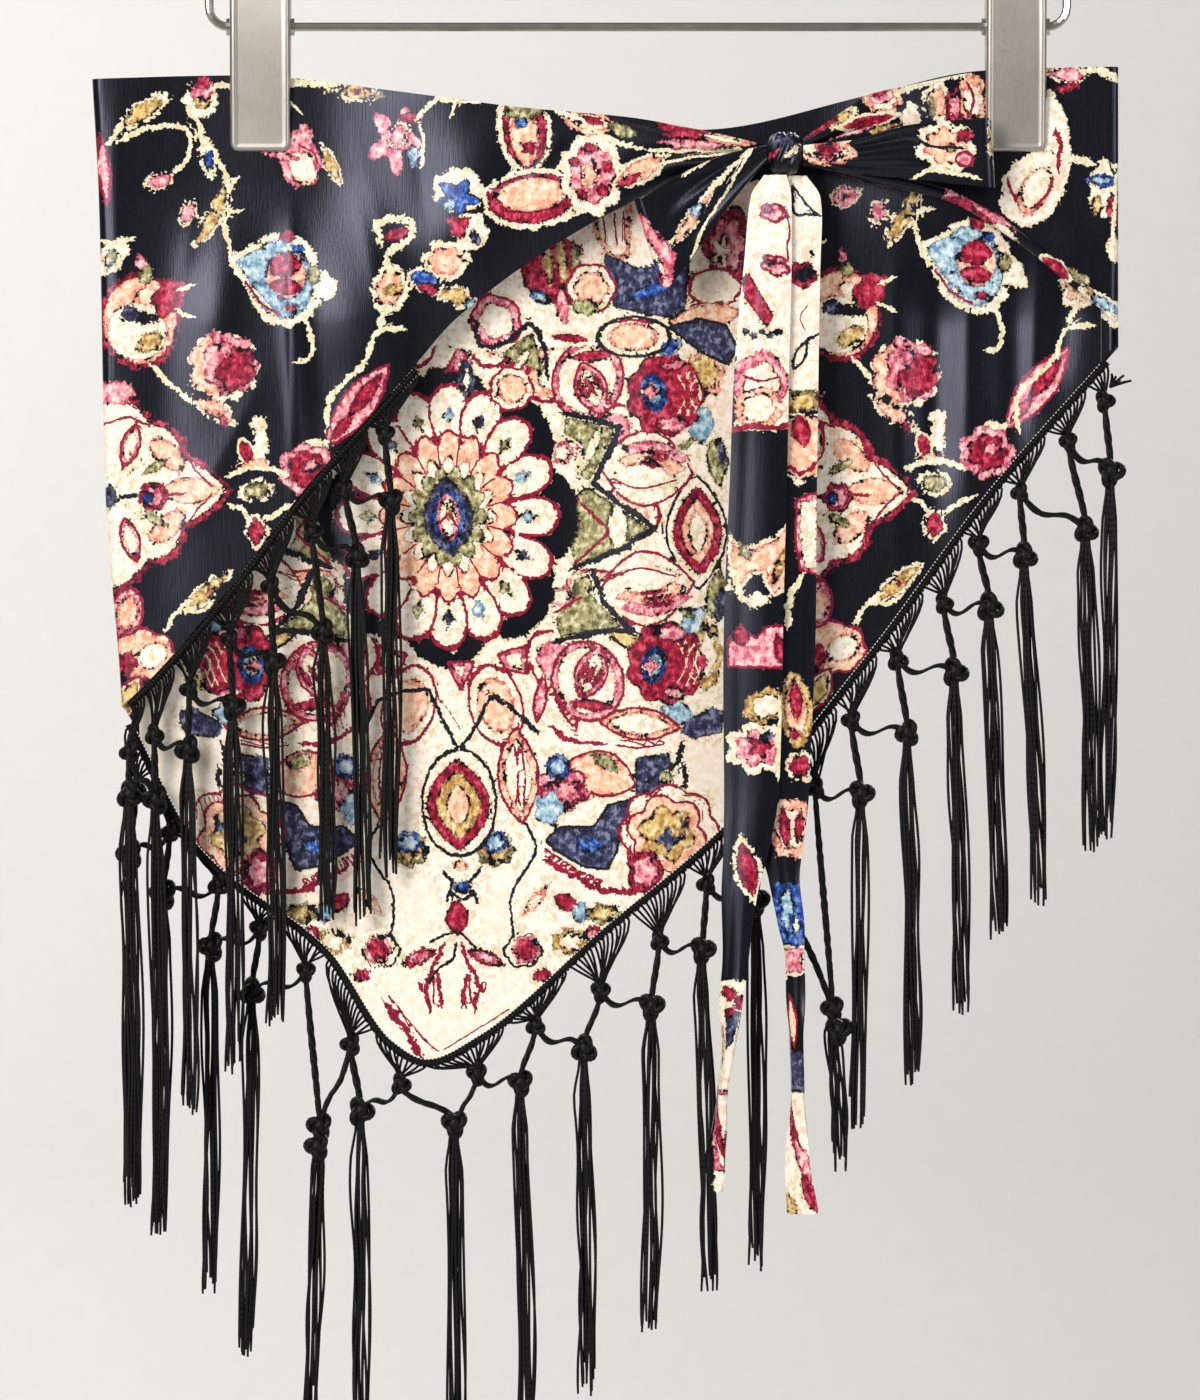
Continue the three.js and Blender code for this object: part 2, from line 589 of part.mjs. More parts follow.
// A point in the middle of the bound strip, below the cloth edge at x.
function stripPoint(x, edge, depth) {
  const z = lookUp(edge, "x", "z", x);
  const slope = lookUp(edge, "x", "z", x + 1) - z;
  const drop = (GAP + STRIP.width / 2) / Math.hypot(1, slope);
  return { x: x + slope * drop, y: depth(x, z), z: z - drop, radius: THREADS };
}

// One tassel: threads gathered from the strip, an upper knot, a link, a lower knot and two locks.
// A last bundle of threads runs from the lower knot to the next tassel's upper knot.
function tassel(row, next, part) {
  const fromStrip = (offset) => {
    const x = Math.min(part.to, Math.max(part.from, row.upperX + offset));
    return stripPoint(x, part.edge, part.depth);
  };
  const hung = (x, z, radius) => ({ x, y: part.hangY, z, radius });
  const { upperX, upperZ, lowerX, lowerZ, endX, endZ } = row;
  const half = LOCK_SPACING / 2;
  const chain = strand(
    [
      fromStrip(-FAN_SPREAD),
      hung(upperX, upperZ + UPPER_KNOT, THREADS),
      hung(upperX, upperZ, UPPER_KNOT),
      hung(upperX, upperZ - UPPER_KNOT, THREADS),
      hung(lowerX, lowerZ + LOWER_KNOT, THREADS),
      hung(lowerX, lowerZ, LOWER_KNOT),
      hung(lowerX - half, lowerZ - 1.7 * LOWER_KNOT, LOCK),
      hung(endX - half, endZ, LOCK_END),
    ],
    4,
  );
  const fan = strand([fromStrip(FAN_SPREAD), hung(upperX, upperZ, THREADS)], 3);
  const lock = strand(
    [
      hung(lowerX + half / 2, lowerZ - LOWER_KNOT / 2, LOCK),
      hung(lowerX + half, lowerZ - 2.2 * LOWER_KNOT, LOCK),
      hung(endX + half, endZ + LOCK_SHORTER, LOCK_END),
    ],
    3,
  );
  if (!next) return [chain, fan, lock];
  const link = strand([hung(lowerX, lowerZ, THREADS), hung(next.upperX, next.upperZ, THREADS)], 3);
  return [chain, fan, lock, link];
}

// A whole fringe: the strip along a panel's edge points between two x values, and its tassels.
function fringe(part) {
  const points = part.columns.map((column) => column[column.length - 1]);
  const strip = edgeStrip(points.filter((point) => point.x > part.from && point.x < part.to));
  return join([strip, ...part.rows.flatMap((row, i) => tassel(row, part.rows[i + 1], part))]);
}

// A wire bent through hand-set stations. Each station gets one ring of the extruded section.
class StationPath extends THREE.Curve {
  constructor(stations) {
    super();
    this.stations = stations;
  }
  getPoint(share) {
    const place = clamp01(share) * (this.stations.length - 1);
    const i = Math.min(this.stations.length - 2, Math.floor(place));
    return this.stations[i].clone().lerp(this.stations[i + 1], place - i);
  }
  getPointAt(share) {
    return this.getPoint(share);
  }
  getTangentAt(share) {
    const half = 0.5 / (this.stations.length - 1);
    return this.getPoint(share + half).sub(this.getPoint(share - half)).normalize();
  }
}

function polygon(radius, sides) {
  return steps(sides)
    .slice(0, -1)
    .map((share) => new THREE.Vector2(radius * Math.cos(share * 2 * Math.PI), radius * Math.sin(share * 2 * Math.PI)));
}

function wire(stations, sides = 10) {
  return new THREE.ExtrudeGeometry(new THREE.Shape(polygon(WIRE, sides)), {
    steps: stations.length - 1,
    bevelEnabled: false,
    extrudePath: new StationPath(stations),
  });
}

const inPlane = (x, z) => new THREE.Vector3(x, 0, z);

// Points of an arc in the hanger's plane, between two angles in degrees.
const arc = (centreX, centreZ, radius, from, to, count) =>
  steps(count).map((share) => {
    const angle = THREE.MathUtils.degToRad(mix(from, to, share));
    return inPlane(centreX + radius * Math.cos(angle), centreZ + radius * Math.sin(angle));
  });

// The frame: a straight rod, rounded corners, short uprights and sloping shoulders up to the collar.
function hangerFrame() {
  const corner = 8;
  const bend = 12;
  const half = (side) => {
    const lower = arc(side * (FRAME_HALF - corner), ROD_Z + corner, corner, -90, side > 0 ? 0 : -180, 5);
    const slope = Math.atan2(COLLAR.bottom + 6 - SHOULDER.z, SHOULDER.x);
    const tilt = THREE.MathUtils.radToDeg(slope);
    const upperZ = SHOULDER.z - (FRAME_HALF - SHOULDER.x) * 0.5;
    const from = side > 0 ? 0 : 180;
    const to = side > 0 ? 90 - tilt : 90 + tilt;
    const upper = arc(side * (FRAME_HALF - bend), upperZ, bend, from, to, 4);
    return [...lower, ...upper, inPlane(side * (COLLAR.radius - 0.8), COLLAR.bottom + 6)];
  };
  const frame = wire([...half(-1).reverse(), ...half(1)]);
  const collar = new THREE.CylinderGeometry(COLLAR.radius, COLLAR.radius, COLLAR.top - COLLAR.bottom, 16);
  collar.rotateX(Math.PI / 2).translate(0, 0, (COLLAR.top + COLLAR.bottom) / 2);
  return join([frame, collar]);
}

// The hook: a stem above the collar that swings out and rounds over the rail, open on the left.
function hook() {
  const stem = [inPlane(0, HOOK.stemZ + GAP), inPlane(0, -58), inPlane(2.2, -51), inPlane(7, -44.5)];
  return wire([...stem, ...arc(0, HOOK.centreZ, HOOK.radius, -52, 206, 20)]);
}

// One jaw of a clip: a pressed channel, hollow towards the cloth, with a solid lip at its lower end.
// face is -1 for the front jaw and 1 for the back one.
function jaw(centreX, face) {
  const clothFace = PINCH_DEPTH + CLOTH / 2 + GAP;
  const outline = [
    { y: clothFace, z: CLIP.bottom },
    { y: clothFace, z: -174 },
    { y: GAP, z: -171 },
    { y: GAP, z: -150 },
    { y: 8.2, z: CLIP.top },
    { y: 10, z: CLIP.top },
    { y: 9, z: -160 },
    { y: 3.6, z: CLIP.bottom },
  ];
  const hollow = [
    { y: -1, z: CLIP.bottom + CLIP.lip },
    { y: -1, z: -148 },
    { y: 7.4, z: CLIP.top - 2 },
    { y: 8.7, z: CLIP.top - 2 },
    { y: 9 - CLIP.sheet, z: -160 },
    { y: 4.3 - CLIP.sheet, z: CLIP.bottom + CLIP.lip },
  ];
  const extruded = (points, width, bevel) => {
    const shape = new THREE.Shape(points.map(({ y, z }) => new THREE.Vector2(face * y, z)));
    const geometry = new THREE.ExtrudeGeometry(shape, {
      depth: width - 2 * bevel,
      bevelEnabled: bevel > 0,
      bevelThickness: bevel,
      bevelSize: bevel,
      bevelOffset: -bevel,
      bevelSegments: 1,
    });
    const turn = new THREE.Matrix4().makeBasis(
      new THREE.Vector3(0, 1, 0),
      new THREE.Vector3(0, 0, 1),
      new THREE.Vector3(1, 0, 0),
    );
    return geometry.applyMatrix4(turn).translate(centreX - width / 2 + bevel, 0, 0);
  };
  const hole = new THREE.CylinderGeometry(BARREL.outer + GAP, BARREL.outer + GAP, CLIP.width + 8, 20);
  hole.rotateZ(Math.PI / 2).translate(centreX, 0, ROD_Z);
  const body = toSolid(extruded(outline, CLIP.width, 0.5));
  const inside = toSolid(extruded(hollow, CLIP.width - 2 * CLIP.sheet, 0));
  return fromSolid(body.subtract(inside).subtract(toSolid(hole)));
}

// The barrel turns on the rod and is the pivot of both jaws.
function barrel(centreX) {
  const half = CLIP.width / 2 + BARREL.overhang;
  const profile = [
    new THREE.Vector2(BARREL.inner, -half),
    new THREE.Vector2(BARREL.outer, -half),
    new THREE.Vector2(BARREL.outer, half),
    new THREE.Vector2(BARREL.inner, half),
    new THREE.Vector2(BARREL.inner, -half),
  ];
  return new THREE.LatheGeometry(profile, 16).rotateZ(Math.PI / 2).translate(centreX, 0, ROD_Z);
}

const scarf = new THREE.Group();
function add(group, name, geometry, finish) {
  const mesh = new THREE.Mesh(geometry, new THREE.MeshStandardMaterial(finish));
  mesh.name = name;
  group.add(mesh);
}

const cloth = new THREE.Group();
const backColumns = backPanelColumns();
const leftColumns = leftFlapColumns();
add(cloth, "back_panel", wall(backColumns), CREAM_SATIN);
add(cloth, "left_front_flap", wall(leftColumns), SATIN);
add(cloth, "right_front_flap", rightFlap(), SATIN);
add(cloth, "tie_knot", knot(), SATIN);
add(cloth, "bow_loop_left", bowLoop(LEFT_LOOP, -1), SATIN);
add(cloth, "bow_loop_right", bowLoop(RIGHT_LOOP, 1), SATIN);
add(cloth, "tie_tail_front", tail(FRONT_TAIL), CREAM_SATIN);
add(cloth, "tie_tail_back", tail(BACK_TAIL), CREAM_SATIN);

const flapFringe = {
  rows: LEFT_FLAP_FRINGE,
  columns: leftColumns.filter((column) => column[0].y < 0),
  edge: LEFT_FLAP_EDGE,
  depth: (x, z) => -halfDepth(x, z) - foldHeight(FRONT_FOLDS, x, z),
  hangY: FRONT_FRINGE_Y,
  from: -204,
  to: -90,
};
const hemFringe = { columns: backColumns, edge: BACK_EDGE, depth: backY, hangY: BACK_FRINGE_Y };
const leftHemFringe = { ...hemFringe, rows: LEFT_HEM_FRINGE, from: -202, to: APEX_X - 1 };
const rightHemFringe = { ...hemFringe, rows: RIGHT_HEM_FRINGE, from: APEX_X + 1, to: 186 };
add(cloth, "fringe_left_flap", fringe(flapFringe), RAYON);
add(cloth, "fringe_left_hem", fringe(leftHemFringe), RAYON);
add(cloth, "fringe_right_hem", fringe(rightHemFringe), RAYON);

const hanger = new THREE.Group();
add(hanger, "hanger_frame", hangerFrame(), STEEL);
add(hanger, "hanger_hook", hook(), STEEL);
for (const [side, centreX] of [["left", -CLIP.offset], ["right", CLIP.offset]]) {
  add(hanger, `clip_${side}_front_jaw`, jaw(centreX, -1), STEEL);
  add(hanger, `clip_${side}_back_jaw`, jaw(centreX, 1), STEEL);
  add(hanger, `clip_${side}_barrel`, barrel(centreX), STEEL);
}

scarf.add(cloth, hanger);

export default scarf;
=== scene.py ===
# %% [markdown]
# # A fringed satin hip scarf on a clip hanger
# The scarf is a printed satin triangle with a knotted black fringe. It is folded round into a flat
# tube, tied in a bow at the front, and hung by its waist from the two clips of a wire hanger.
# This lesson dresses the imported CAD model: the cloth becomes thin shells with a woven-look print,
# the fringe becomes real threads and knots, and the metal gets its finishes.

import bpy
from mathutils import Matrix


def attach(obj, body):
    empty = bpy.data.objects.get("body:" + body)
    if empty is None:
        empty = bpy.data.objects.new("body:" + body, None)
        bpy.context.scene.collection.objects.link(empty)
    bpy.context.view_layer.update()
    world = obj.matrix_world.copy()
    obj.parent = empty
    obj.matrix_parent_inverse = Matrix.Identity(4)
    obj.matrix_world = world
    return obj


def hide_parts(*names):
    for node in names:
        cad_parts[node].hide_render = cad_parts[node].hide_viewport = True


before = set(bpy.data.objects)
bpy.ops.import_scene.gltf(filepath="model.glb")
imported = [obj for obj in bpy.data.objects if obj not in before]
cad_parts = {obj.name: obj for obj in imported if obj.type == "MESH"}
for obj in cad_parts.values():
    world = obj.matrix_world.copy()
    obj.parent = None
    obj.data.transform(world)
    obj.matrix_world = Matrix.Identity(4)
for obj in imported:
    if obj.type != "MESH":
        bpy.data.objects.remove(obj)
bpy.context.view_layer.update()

import copy
import math
import bpy
import numpy as np
from mathutils import Vector

MM = 0.001
rng = np.random.default_rng(11)

# %% [markdown]
# ## Small tools
# Every surface here is a grid of points worked out as whole arrays, in millimetres, and turned
# into a mesh at the end. One function looks a value up in a short table along a smooth curve, one
# makes a mesh from vertices and faces, and one makes a thin closed wall from a grid.

# %% Tables and meshes
def look_up(table, at):
    """Smooth curve through the rows (key, value) of a table.
    The slope at a row is the harmonic mean of the slopes beside it, so nothing overshoots."""
    rows = np.array(sorted(table), float)
    key, value = rows[:, 0], rows[:, 1]
    slope = np.diff(value) / np.diff(key)
    both = slope[:-1] * slope[1:]
    total = np.where(both > 0, slope[:-1] + slope[1:], 1)
    inner = np.where(both > 0, 2 * both / total, 0)
    lean = np.concatenate([slope[:1], inner, slope[-1:]])
    place = np.clip(at, key[0], key[-1])
    i = np.clip(np.searchsorted(key, place, side="right") - 1, 0, len(key) - 2)
    span = key[i + 1] - key[i]
    t = (place - key[i]) / span
    rise = value[i + 1] - value[i]
    start, end = lean[i] * span, lean[i + 1] * span
    return value[i] + start * t + (3 * rise - 2 * start - end) * t**2 + (start + end - 2 * rise) * t**3


def smooth(start, end, value):
    """0 before start, 1 after end, and a soft S between them."""
    share = np.clip((value - start) / (end - start), 0, 1)
    return share * share * (3 - 2 * share)


def mix(a, b, share):
    return a + (b - a) * share


def xyz(x, y, z):
    """Points from three arrays, each spread to the shape that they have in common."""
    return np.stack(np.broadcast_arrays(x, y, z), -1)


def new_piece(name, vertices, faces, sharp=math.radians(50)):
    """A mesh object at the origin. vertices are in mm, faces a list of index arrays, one row a face."""
    mesh = bpy.data.meshes.new(name)
    mesh.vertices.add(len(vertices))
    mesh.vertices.foreach_set("co", (np.asarray(vertices, float) * MM).ravel())
    corners = np.concatenate([block.ravel() for block in faces])
    sizes = np.concatenate([np.full(len(block), block.shape[1]) for block in faces])
    mesh.loops.add(len(corners))
    mesh.loops.foreach_set("vertex_index", corners.astype(np.int32))
    mesh.polygons.add(len(sizes))
    mesh.polygons.foreach_set("loop_start", (np.cumsum(sizes) - sizes).astype(np.int32))
    mesh.update(calc_edges=True)
    mesh.shade_smooth()
    mesh.set_sharp_from_angle(angle=sharp)
    piece = bpy.data.objects.new(name, mesh)
    bpy.context.scene.collection.objects.link(piece)
    print(f"{name}: {len(vertices)} points, {int((sizes - 2).sum())} triangles")
    return piece


def add_field(piece, name, values):
    """Stores three numbers a vertex, which the materials read by name."""
    attribute = piece.data.attributes.new(name, "FLOAT_VECTOR", "POINT")
    attribute.data.foreach_set("vector", values.astype(np.float32).ravel())


def dress(piece, material, node_name):
    """Gives a finished piece its material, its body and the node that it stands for."""
    piece.data.materials.append(material)
    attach(piece, "root")
    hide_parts(node_name)
    return piece


def unit(way):
    """The same directions with a length of 1."""
    return way / np.maximum(np.linalg.norm(way, axis=-1, keepdims=True), 1e-9)


def grid_normals(grid):
    """Unit normals of a grid: the step along the columns crossed with the step down the rows."""
    return unit(np.cross(np.gradient(grid, axis=0), np.gradient(grid, axis=1)))


# order of a cell's corners that turns the face over
OTHER_WAY = [0, 3, 2, 1]


def cells(index):
    """The four corners of every cell of a grid of vertex numbers."""
    corners = [index[:-1, :-1], index[1:, :-1], index[1:, 1:], index[:-1, 1:]]
    return np.stack([corner.ravel() for corner in corners], -1)


def wall(grid, thickness):
    """Vertices and faces of a closed wall: the grid moved half the thickness to each side."""
    columns, rows = grid.shape[:2]
    shift = grid_normals(grid) * thickness / 2
    vertices = np.concatenate([(grid + shift).reshape(-1, 3), (grid - shift).reshape(-1, 3)])
    index = np.arange(columns * rows).reshape(columns, rows)
    back = index + columns * rows
    faces = [cells(index), cells(back)[:, OTHER_WAY]]
    for place, axis in ((np.s_[:, 0], 0), (np.s_[:, -1], 1), (np.s_[0], 1), (np.s_[-1], 0)):
        faces.append(cells(np.stack([index[place], back[place]], axis)))
    return vertices, [np.concatenate(faces)]


# %% [markdown]
# ## The camera
# The scarf was photographed straight from the front and from far enough away that its front and
# back show at one scale. A long lens does that: the camera stands 3 m away, and its lens is worked
# out so that 480 mm of the scarf's width fill the picture.

# %% Camera
VIEW = {"x": -15.2, "z": -429.2, "width": 480.0, "height": 560.0, "distance": 3000.0, "sensor": 36.0}
camera_data = bpy.data.cameras.new("camera")
camera = bpy.data.objects.new("camera", camera_data)
bpy.context.scene.collection.objects.link(camera)
camera.location = (VIEW["x"] * MM, -VIEW["distance"] * MM, VIEW["z"] * MM)
camera.rotation_euler = (math.radians(90), 0, 0)
camera_data.sensor_fit = "VERTICAL"
camera_data.sensor_height = VIEW["sensor"]
camera_data.lens = VIEW["sensor"] * VIEW["distance"] / VIEW["height"]
camera_data.clip_end = 50
bpy.context.scene.camera = camera
print("lens in mm:", round(camera_data.lens, 1))

# %% [markdown]
# ## The shape of the hanging cloth
# The tube is deep in the middle of the waist, flat at its side folds and pinched where the clips
# hold it. The same sizes were used for the solids, so the shells lie exactly where the solids are.
# Each table row is (place, value) in millimetres.

# %% Sizes of the cloth
CLOTH = 1.2
GAP = 0.3
SEAM = 0.05
FOLD_RADIUS = 3.0
WAIST_DEPTH = 8.0
PINCH_DEPTH = 0.9
PINCH_REACH = 62.0
HANG_START, HANG_END, HANG_SHARE = -300.0, -573.0, 0.5
SEAM_INSET = 6.0
CLOTH_LEFT, CLOTH_RIGHT = -218.0, 191.5
CLIP = {"offset": 151.0, "width": 24.0, "bottom": -210.0, "margin": 8.0}
KNOT = {"x": 58.4, "y": -14.0, "z": -211.6, "half_x": 7.0, "half_y": 7.5, "half_z": 8.5}
FLAP_ROOT_Y = -10.5
KNOT_REACH = 62.0
PLEAT_HEIGHT = 1.5
CRISP = 1.4
FADE_IN, FADE_OUT = (-0.15, 0.3), (0.6, 1.15)
LEFT_ROOT = KNOT["x"] - KNOT["half_x"] - GAP
RIGHT_ROOT = KNOT["x"] + KNOT["half_x"] + GAP

LEFT_FOLD = [(-640, -200), (-431, -206), (-345, -212.5), (-232, -215), (-176, -218)]
LEFT_FLAP_TOP = [(-218, -181), (-163, -179.5), (-139, -180.5), (-104, -185), (-49, -192.5),
                 (-1.5, -197), (24, -202), (51.1, -208.5)]
LEFT_FLAP_EDGE = [(-218, -440), (-206, -431.5), (-164, -385.5), (-133, -345), (-93.5, -301),
                  (-72, -276.5), (-15, -237), (20, -221.5), (51.1, -215.5)]
RIGHT_FLAP_TOP = [(65.7, -206), (83, -194), (92, -188), (105, -184.5), (137, -178),
                  (162, -176.5), (191.5, -176)]
RIGHT_FLAP_EDGE = [(65.7, -215.5), (93, -221), (121.5, -226.5), (151, -243.5), (175, -263),
                   (191.5, -277)]
BACK_TOP = [(-218, -181), (-139, -180.5), (-104, -186), (-49, -194.5), (-1.5, -199.5),
            (25, -200.5), (92, -187), (137, -177.5), (162, -176.5), (191.5, -176)]
BACK_EDGE = [(-218, -412), (-206, -431.5), (-174.5, -489), (-124, -529), (-98, -566),
             (-84.5, -573), (-64.5, -564), (-15, -521.5), (35, -479), (92, -410.5),
             (141, -344.5), (191.5, -287)]

# Soft folds, (x1, z1, x2, z2, height, width): a ridge from one point to another. The first rows
# are the solids' own, and the later ones are finer creases.
FRONT_FOLDS = [
    (-141, -219, -133, -325, 1.3, 5), (-126, -222, -105, -312, 2.4, 15),
    (-161, -219, -171, -300, 1.4, 9), (-188, -200, -190, -400, -1.2, 12),
    (-60, -200, -72, -260, 1.5, 14), (10, -209, -45, -226, 1.6, 7),
    (160, -218, 178, -254, 1.4, 6), (128, -196, 96, -204, 1.2, 5),
]
FRONT_CREASES = [
    (-116, -212, -92, -318, 1.3, 8), (-138.6, -214, -138, -352, 0.55, 1.1), (-137, -214, -133, -240, -0.5, 3),
    (-208, -186, -211, -300, 0.7, 4), (-118, -190, -96, -262, 0.6, 6),
    (-176, -220, -182, -262, 0.5, 4), (-90, -196, -84, -240, -0.5, 5),
    (-30, -203, -52, -238, 0.6, 4), (28, -210, -8, -226, 0.5, 3),
    (-150, -300, -186, -372, 0.5, 7), (-112, -300, -124, -334, 0.5, 6),
]
BACK_FOLDS = [
    (119, -246, 117, -372, -2.6, 9), (149, -236, 150, -344, -2.2, 9),
    (171, -262, 166, -312, -1.4, 7), (-20, -260, -34, -470, -1.6, 20),
    (-96, -330, -90, -520, 1.4, 18), (-160, -226, -172, -420, 1.8, 14),
    (-136, -226, -124, -400, -1.8, 14),
]
BACK_CREASES = [
    (133, -232, 132, -350, 0.9, 5), (104, -240, 104, -380, 0.7, 5), (160, -245, 158, -320, 0.6, 3),
    (-62, -300, -58, -440, 0.5, 9), (6, -250, 0, -400, 0.5, 8), (-110, -380, -120, -500, 0.5, 8),
    (-40, -420, -66, -540, -0.5, 10), (20, -330, -10, -460, 0.4, 9),
]


def freedom(x, z):
    """0 between the jaws of a clip, 1 where the distance from both clips is PINCH_REACH or more."""
    free = np.ones(np.broadcast(x, z).shape)
    for clip_x in (-CLIP["offset"], CLIP["offset"]):
        aside = np.maximum(0, np.abs(x - clip_x) - CLIP["width"] / 2 - CLIP["margin"])
        below = np.maximum(0, CLIP["bottom"] - CLIP["margin"] - z)
        free = np.minimum(free, smooth(0, PINCH_REACH, np.hypot(aside, below)))
    return free


def half_depth(x, z):
    """Half the depth of the tube: a lens across the width, less deep further down, pinched at the clips."""
    centre, half = (CLOTH_LEFT + CLOTH_RIGHT) / 2, (CLOTH_RIGHT - CLOTH_LEFT) / 2
    across = np.clip(np.abs(x - centre) / half, 0, 1)
    lens = FOLD_RADIUS + (WAIST_DEPTH - FOLD_RADIUS) * (1 - across**2) ** 0.8
    hang = 1 - HANG_SHARE * smooth(HANG_START, HANG_END, z)
    return mix(PINCH_DEPTH, np.maximum(lens * hang, FOLD_RADIUS), freedom(x, z))


def fold_height(folds, x, z, sharpness=2.0):
    """Sum of ridges: each falls off as exp(-(offset / width) ** sharpness) and fades at both ends."""
    height = np.zeros(np.broadcast(x, z).shape)
    for x1, z1, x2, z2, rise, width in folds:
        length = math.hypot(x2 - x1, z2 - z1)
        along = ((x - x1) * (x2 - x1) + (z - z1) * (z2 - z1)) / length**2
        off = ((x - x1) * (z2 - z1) - (z - z1) * (x2 - x1)) / length
        ends = smooth(*FADE_IN, along) * (1 - smooth(*FADE_OUT, along))
        height += rise * ends * np.exp(-(np.abs(off / width) ** sharpness))
    return height * freedom(x, z)


def back_y(x, z):
    """Depth of the back panel: behind the middle plane, less its folds and creases."""
    return half_depth(x, z) - fold_height(BACK_FOLDS, x, z) - fold_height(BACK_CREASES, x, z, CRISP)


def flap_front(x, z):
    """Depth of a front flap away from the knot: in front of the middle plane, with its folds."""
    return -half_depth(x, z) - fold_height(FRONT_FOLDS, x, z) - fold_height(FRONT_CREASES, x, z, CRISP)


def front_y(x, z, share, root_x, pleats):
    """Depth of a front flap, which comes forward and is gathered at the knot. The pleats are a sine
    down the section, with a finer and lower one between them."""
    near = 1 - smooth(0, KNOT_REACH, np.abs(x - root_x))
    height = PLEAT_HEIGHT * near * (1 - 0.35 * near)
    ripple = np.sin(2 * np.pi * pleats * share) + 0.35 * near * np.sin(4 * np.pi * pleats * share + 1)
    return mix(flap_front(x, z), FLAP_ROOT_Y, near) + height * ripple


def left_fold_x(z):
    return look_up(LEFT_FOLD, z)


def right_fold_x(z):
    return np.full(np.shape(z), CLOTH_RIGHT)


def column_heights(table, scale, shift, fold_x):
    """Height where each column, at x = scale * fold_x(z) + shift, crosses an edge of the cloth."""
    z = np.full(np.shape(scale), -300.0)
    for _ in range(7):
        z = look_up(table, scale * fold_x(z) + shift)
    return z


# %% [markdown]
# ## The print: a carpet pattern drawn as a weaver's cartoon
# The satin is printed with a traditional floral carpet pattern: a medallion with a rosette on a
# cream ground, and vines, palmettes and buds on a dark ground. A picture could be wrapped on the
# cloth, but then the pattern would be pixels. Here it is drawn like a weaver's cartoon instead, on
# squared paper with squares of 0.4 mm. Each motif is a formula for the distance to its edge, and
# every point of the cloth keeps, for each ink, how far it is from that ink. The material colours
# what lies inside, so that the edges stay crisp at any size.

# %% The cartoon
SQUARE = 0.4
FAR = 30.0
INKS = ["cream", "peach", "pink", "crimson", "slate", "sky", "royal", "olive", "ochre"]
LINES = ["crimson", "black", "cream"]
FIELDS = ["ink_1", "ink_2", "ink_3", "line_1", "line_2"]


class Cartoon:
    """The pattern at a set of points, which are counted in squares across and down the paper."""

    def __init__(self, across, down):
        self.across, self.down = across.ravel(), down.ravel()
        self.ink = {name: np.full(self.across.shape, FAR) for name in INKS}
        self.signed = {name: np.full(self.across.shape, FAR) for name in LINES}
        self.near = {name: np.full(self.across.shape, FAR) for name in LINES}

    def at(self, x, y, flip_x=1, flip_y=1):
        """The same paper with its corner moved to (x, y), and turned over where a flip is -1."""
        view = copy.copy(self)
        view.across, view.down = (self.across - x) * flip_x, (self.down - y) * flip_y
        return view

    def clear(self, shape):
        """Takes every ink and line out of a shape, so that the dark ground shows."""
        for name in INKS:
            np.maximum(self.ink[name], -shape, out=self.ink[name])
        for name in LINES:
            self.near[name][shape < 0] = FAR

    def fill(self, ink, shape):
        """Paints a shape over what is there."""
        self.clear(shape)
        if ink in self.ink:
            np.minimum(self.ink[ink], shape, out=self.ink[ink])

    def draw(self, line, signed, near):
        """Keeps the nearer line of each colour: its signed and its plain distance, in half widths."""
        closer = near < self.near[line]
        self.signed[line][closer] = signed[closer]
        self.near[line][closer] = near[closer]


def curve(points, steps=6):
    """Catmull-Rom curve through the points, with a few steps for each stretch."""
    p = np.concatenate([2 * points[:1] - points[1:2], points, 2 * points[-1:] - points[-2:-1]])
    t = np.linspace(0, 1, steps, endpoint=False)[None, :, None]
    a, b, c, d = p[:-3, None], p[1:-2, None], p[2:-1, None], p[3:, None]
    out = 0.5 * (2 * b + (c - a) * t + (2 * a - 5 * b + 4 * c - d) * t**2 + (3 * b - a - 3 * c + d) * t**3)
    return np.concatenate([out.reshape(-1, 2), points[-1:]])


def line(c, half, *numbers):
    """Signed and plain distance, in half widths, to a smooth line through points, worked out near it."""
    path = curve(np.reshape(numbers, (-1, 2)))
    signed, near = np.full(c.across.shape, FAR), np.full(c.across.shape, FAR)
    low, high = path.min(0) - 4 * half - 4, path.max(0) + 4 * half + 4
    close = (c.across > low[0]) & (c.across < high[0]) & (c.down > low[1]) & (c.down < high[1])
    if close.any():
        x, y = c.across[close][:, None], c.down[close][:, None]
        ax, ay = path[:-1, 0], path[:-1, 1]
        dx, dy = path[1:, 0] - ax, path[1:, 1] - ay
        t = np.clip(((x - ax) * dx + (y - ay) * dy) / np.maximum(dx**2 + dy**2, 1e-6), 0, 1)
        gap = np.hypot(x - ax - t * dx, y - ay - t * dy)
        best = gap.argmin(1)
        rows = np.arange(len(best))
        side = np.where(dx * (y - ay) - dy * (x - ax) < 0, -1, 1)
        near[close] = gap[rows, best] / half
        signed[close] = near[close] * side[rows, best]
    return signed, near


def turned(c, x, y, turn):
    """Distances along and across an axis through (x, y) that is turned clockwise by turn degrees."""
    cos, sin = math.cos(math.radians(turn)), math.sin(math.radians(turn))
    dx, dy = c.across - x, c.down - y
    return dx * cos + dy * sin, dy * cos - dx * sin


def oval(c, x, y, a, b, turn=0, skew=0.0):
    """Ellipse: (length of (u / a, v / b) - 1) times the short half axis. skew widens its far end."""
    u, v = turned(c, x, y, turn)
    v = v / (1 + skew * np.clip(u / a, -1, 1))
    return (np.hypot(u / a, v / b) - 1) * min(a, b)


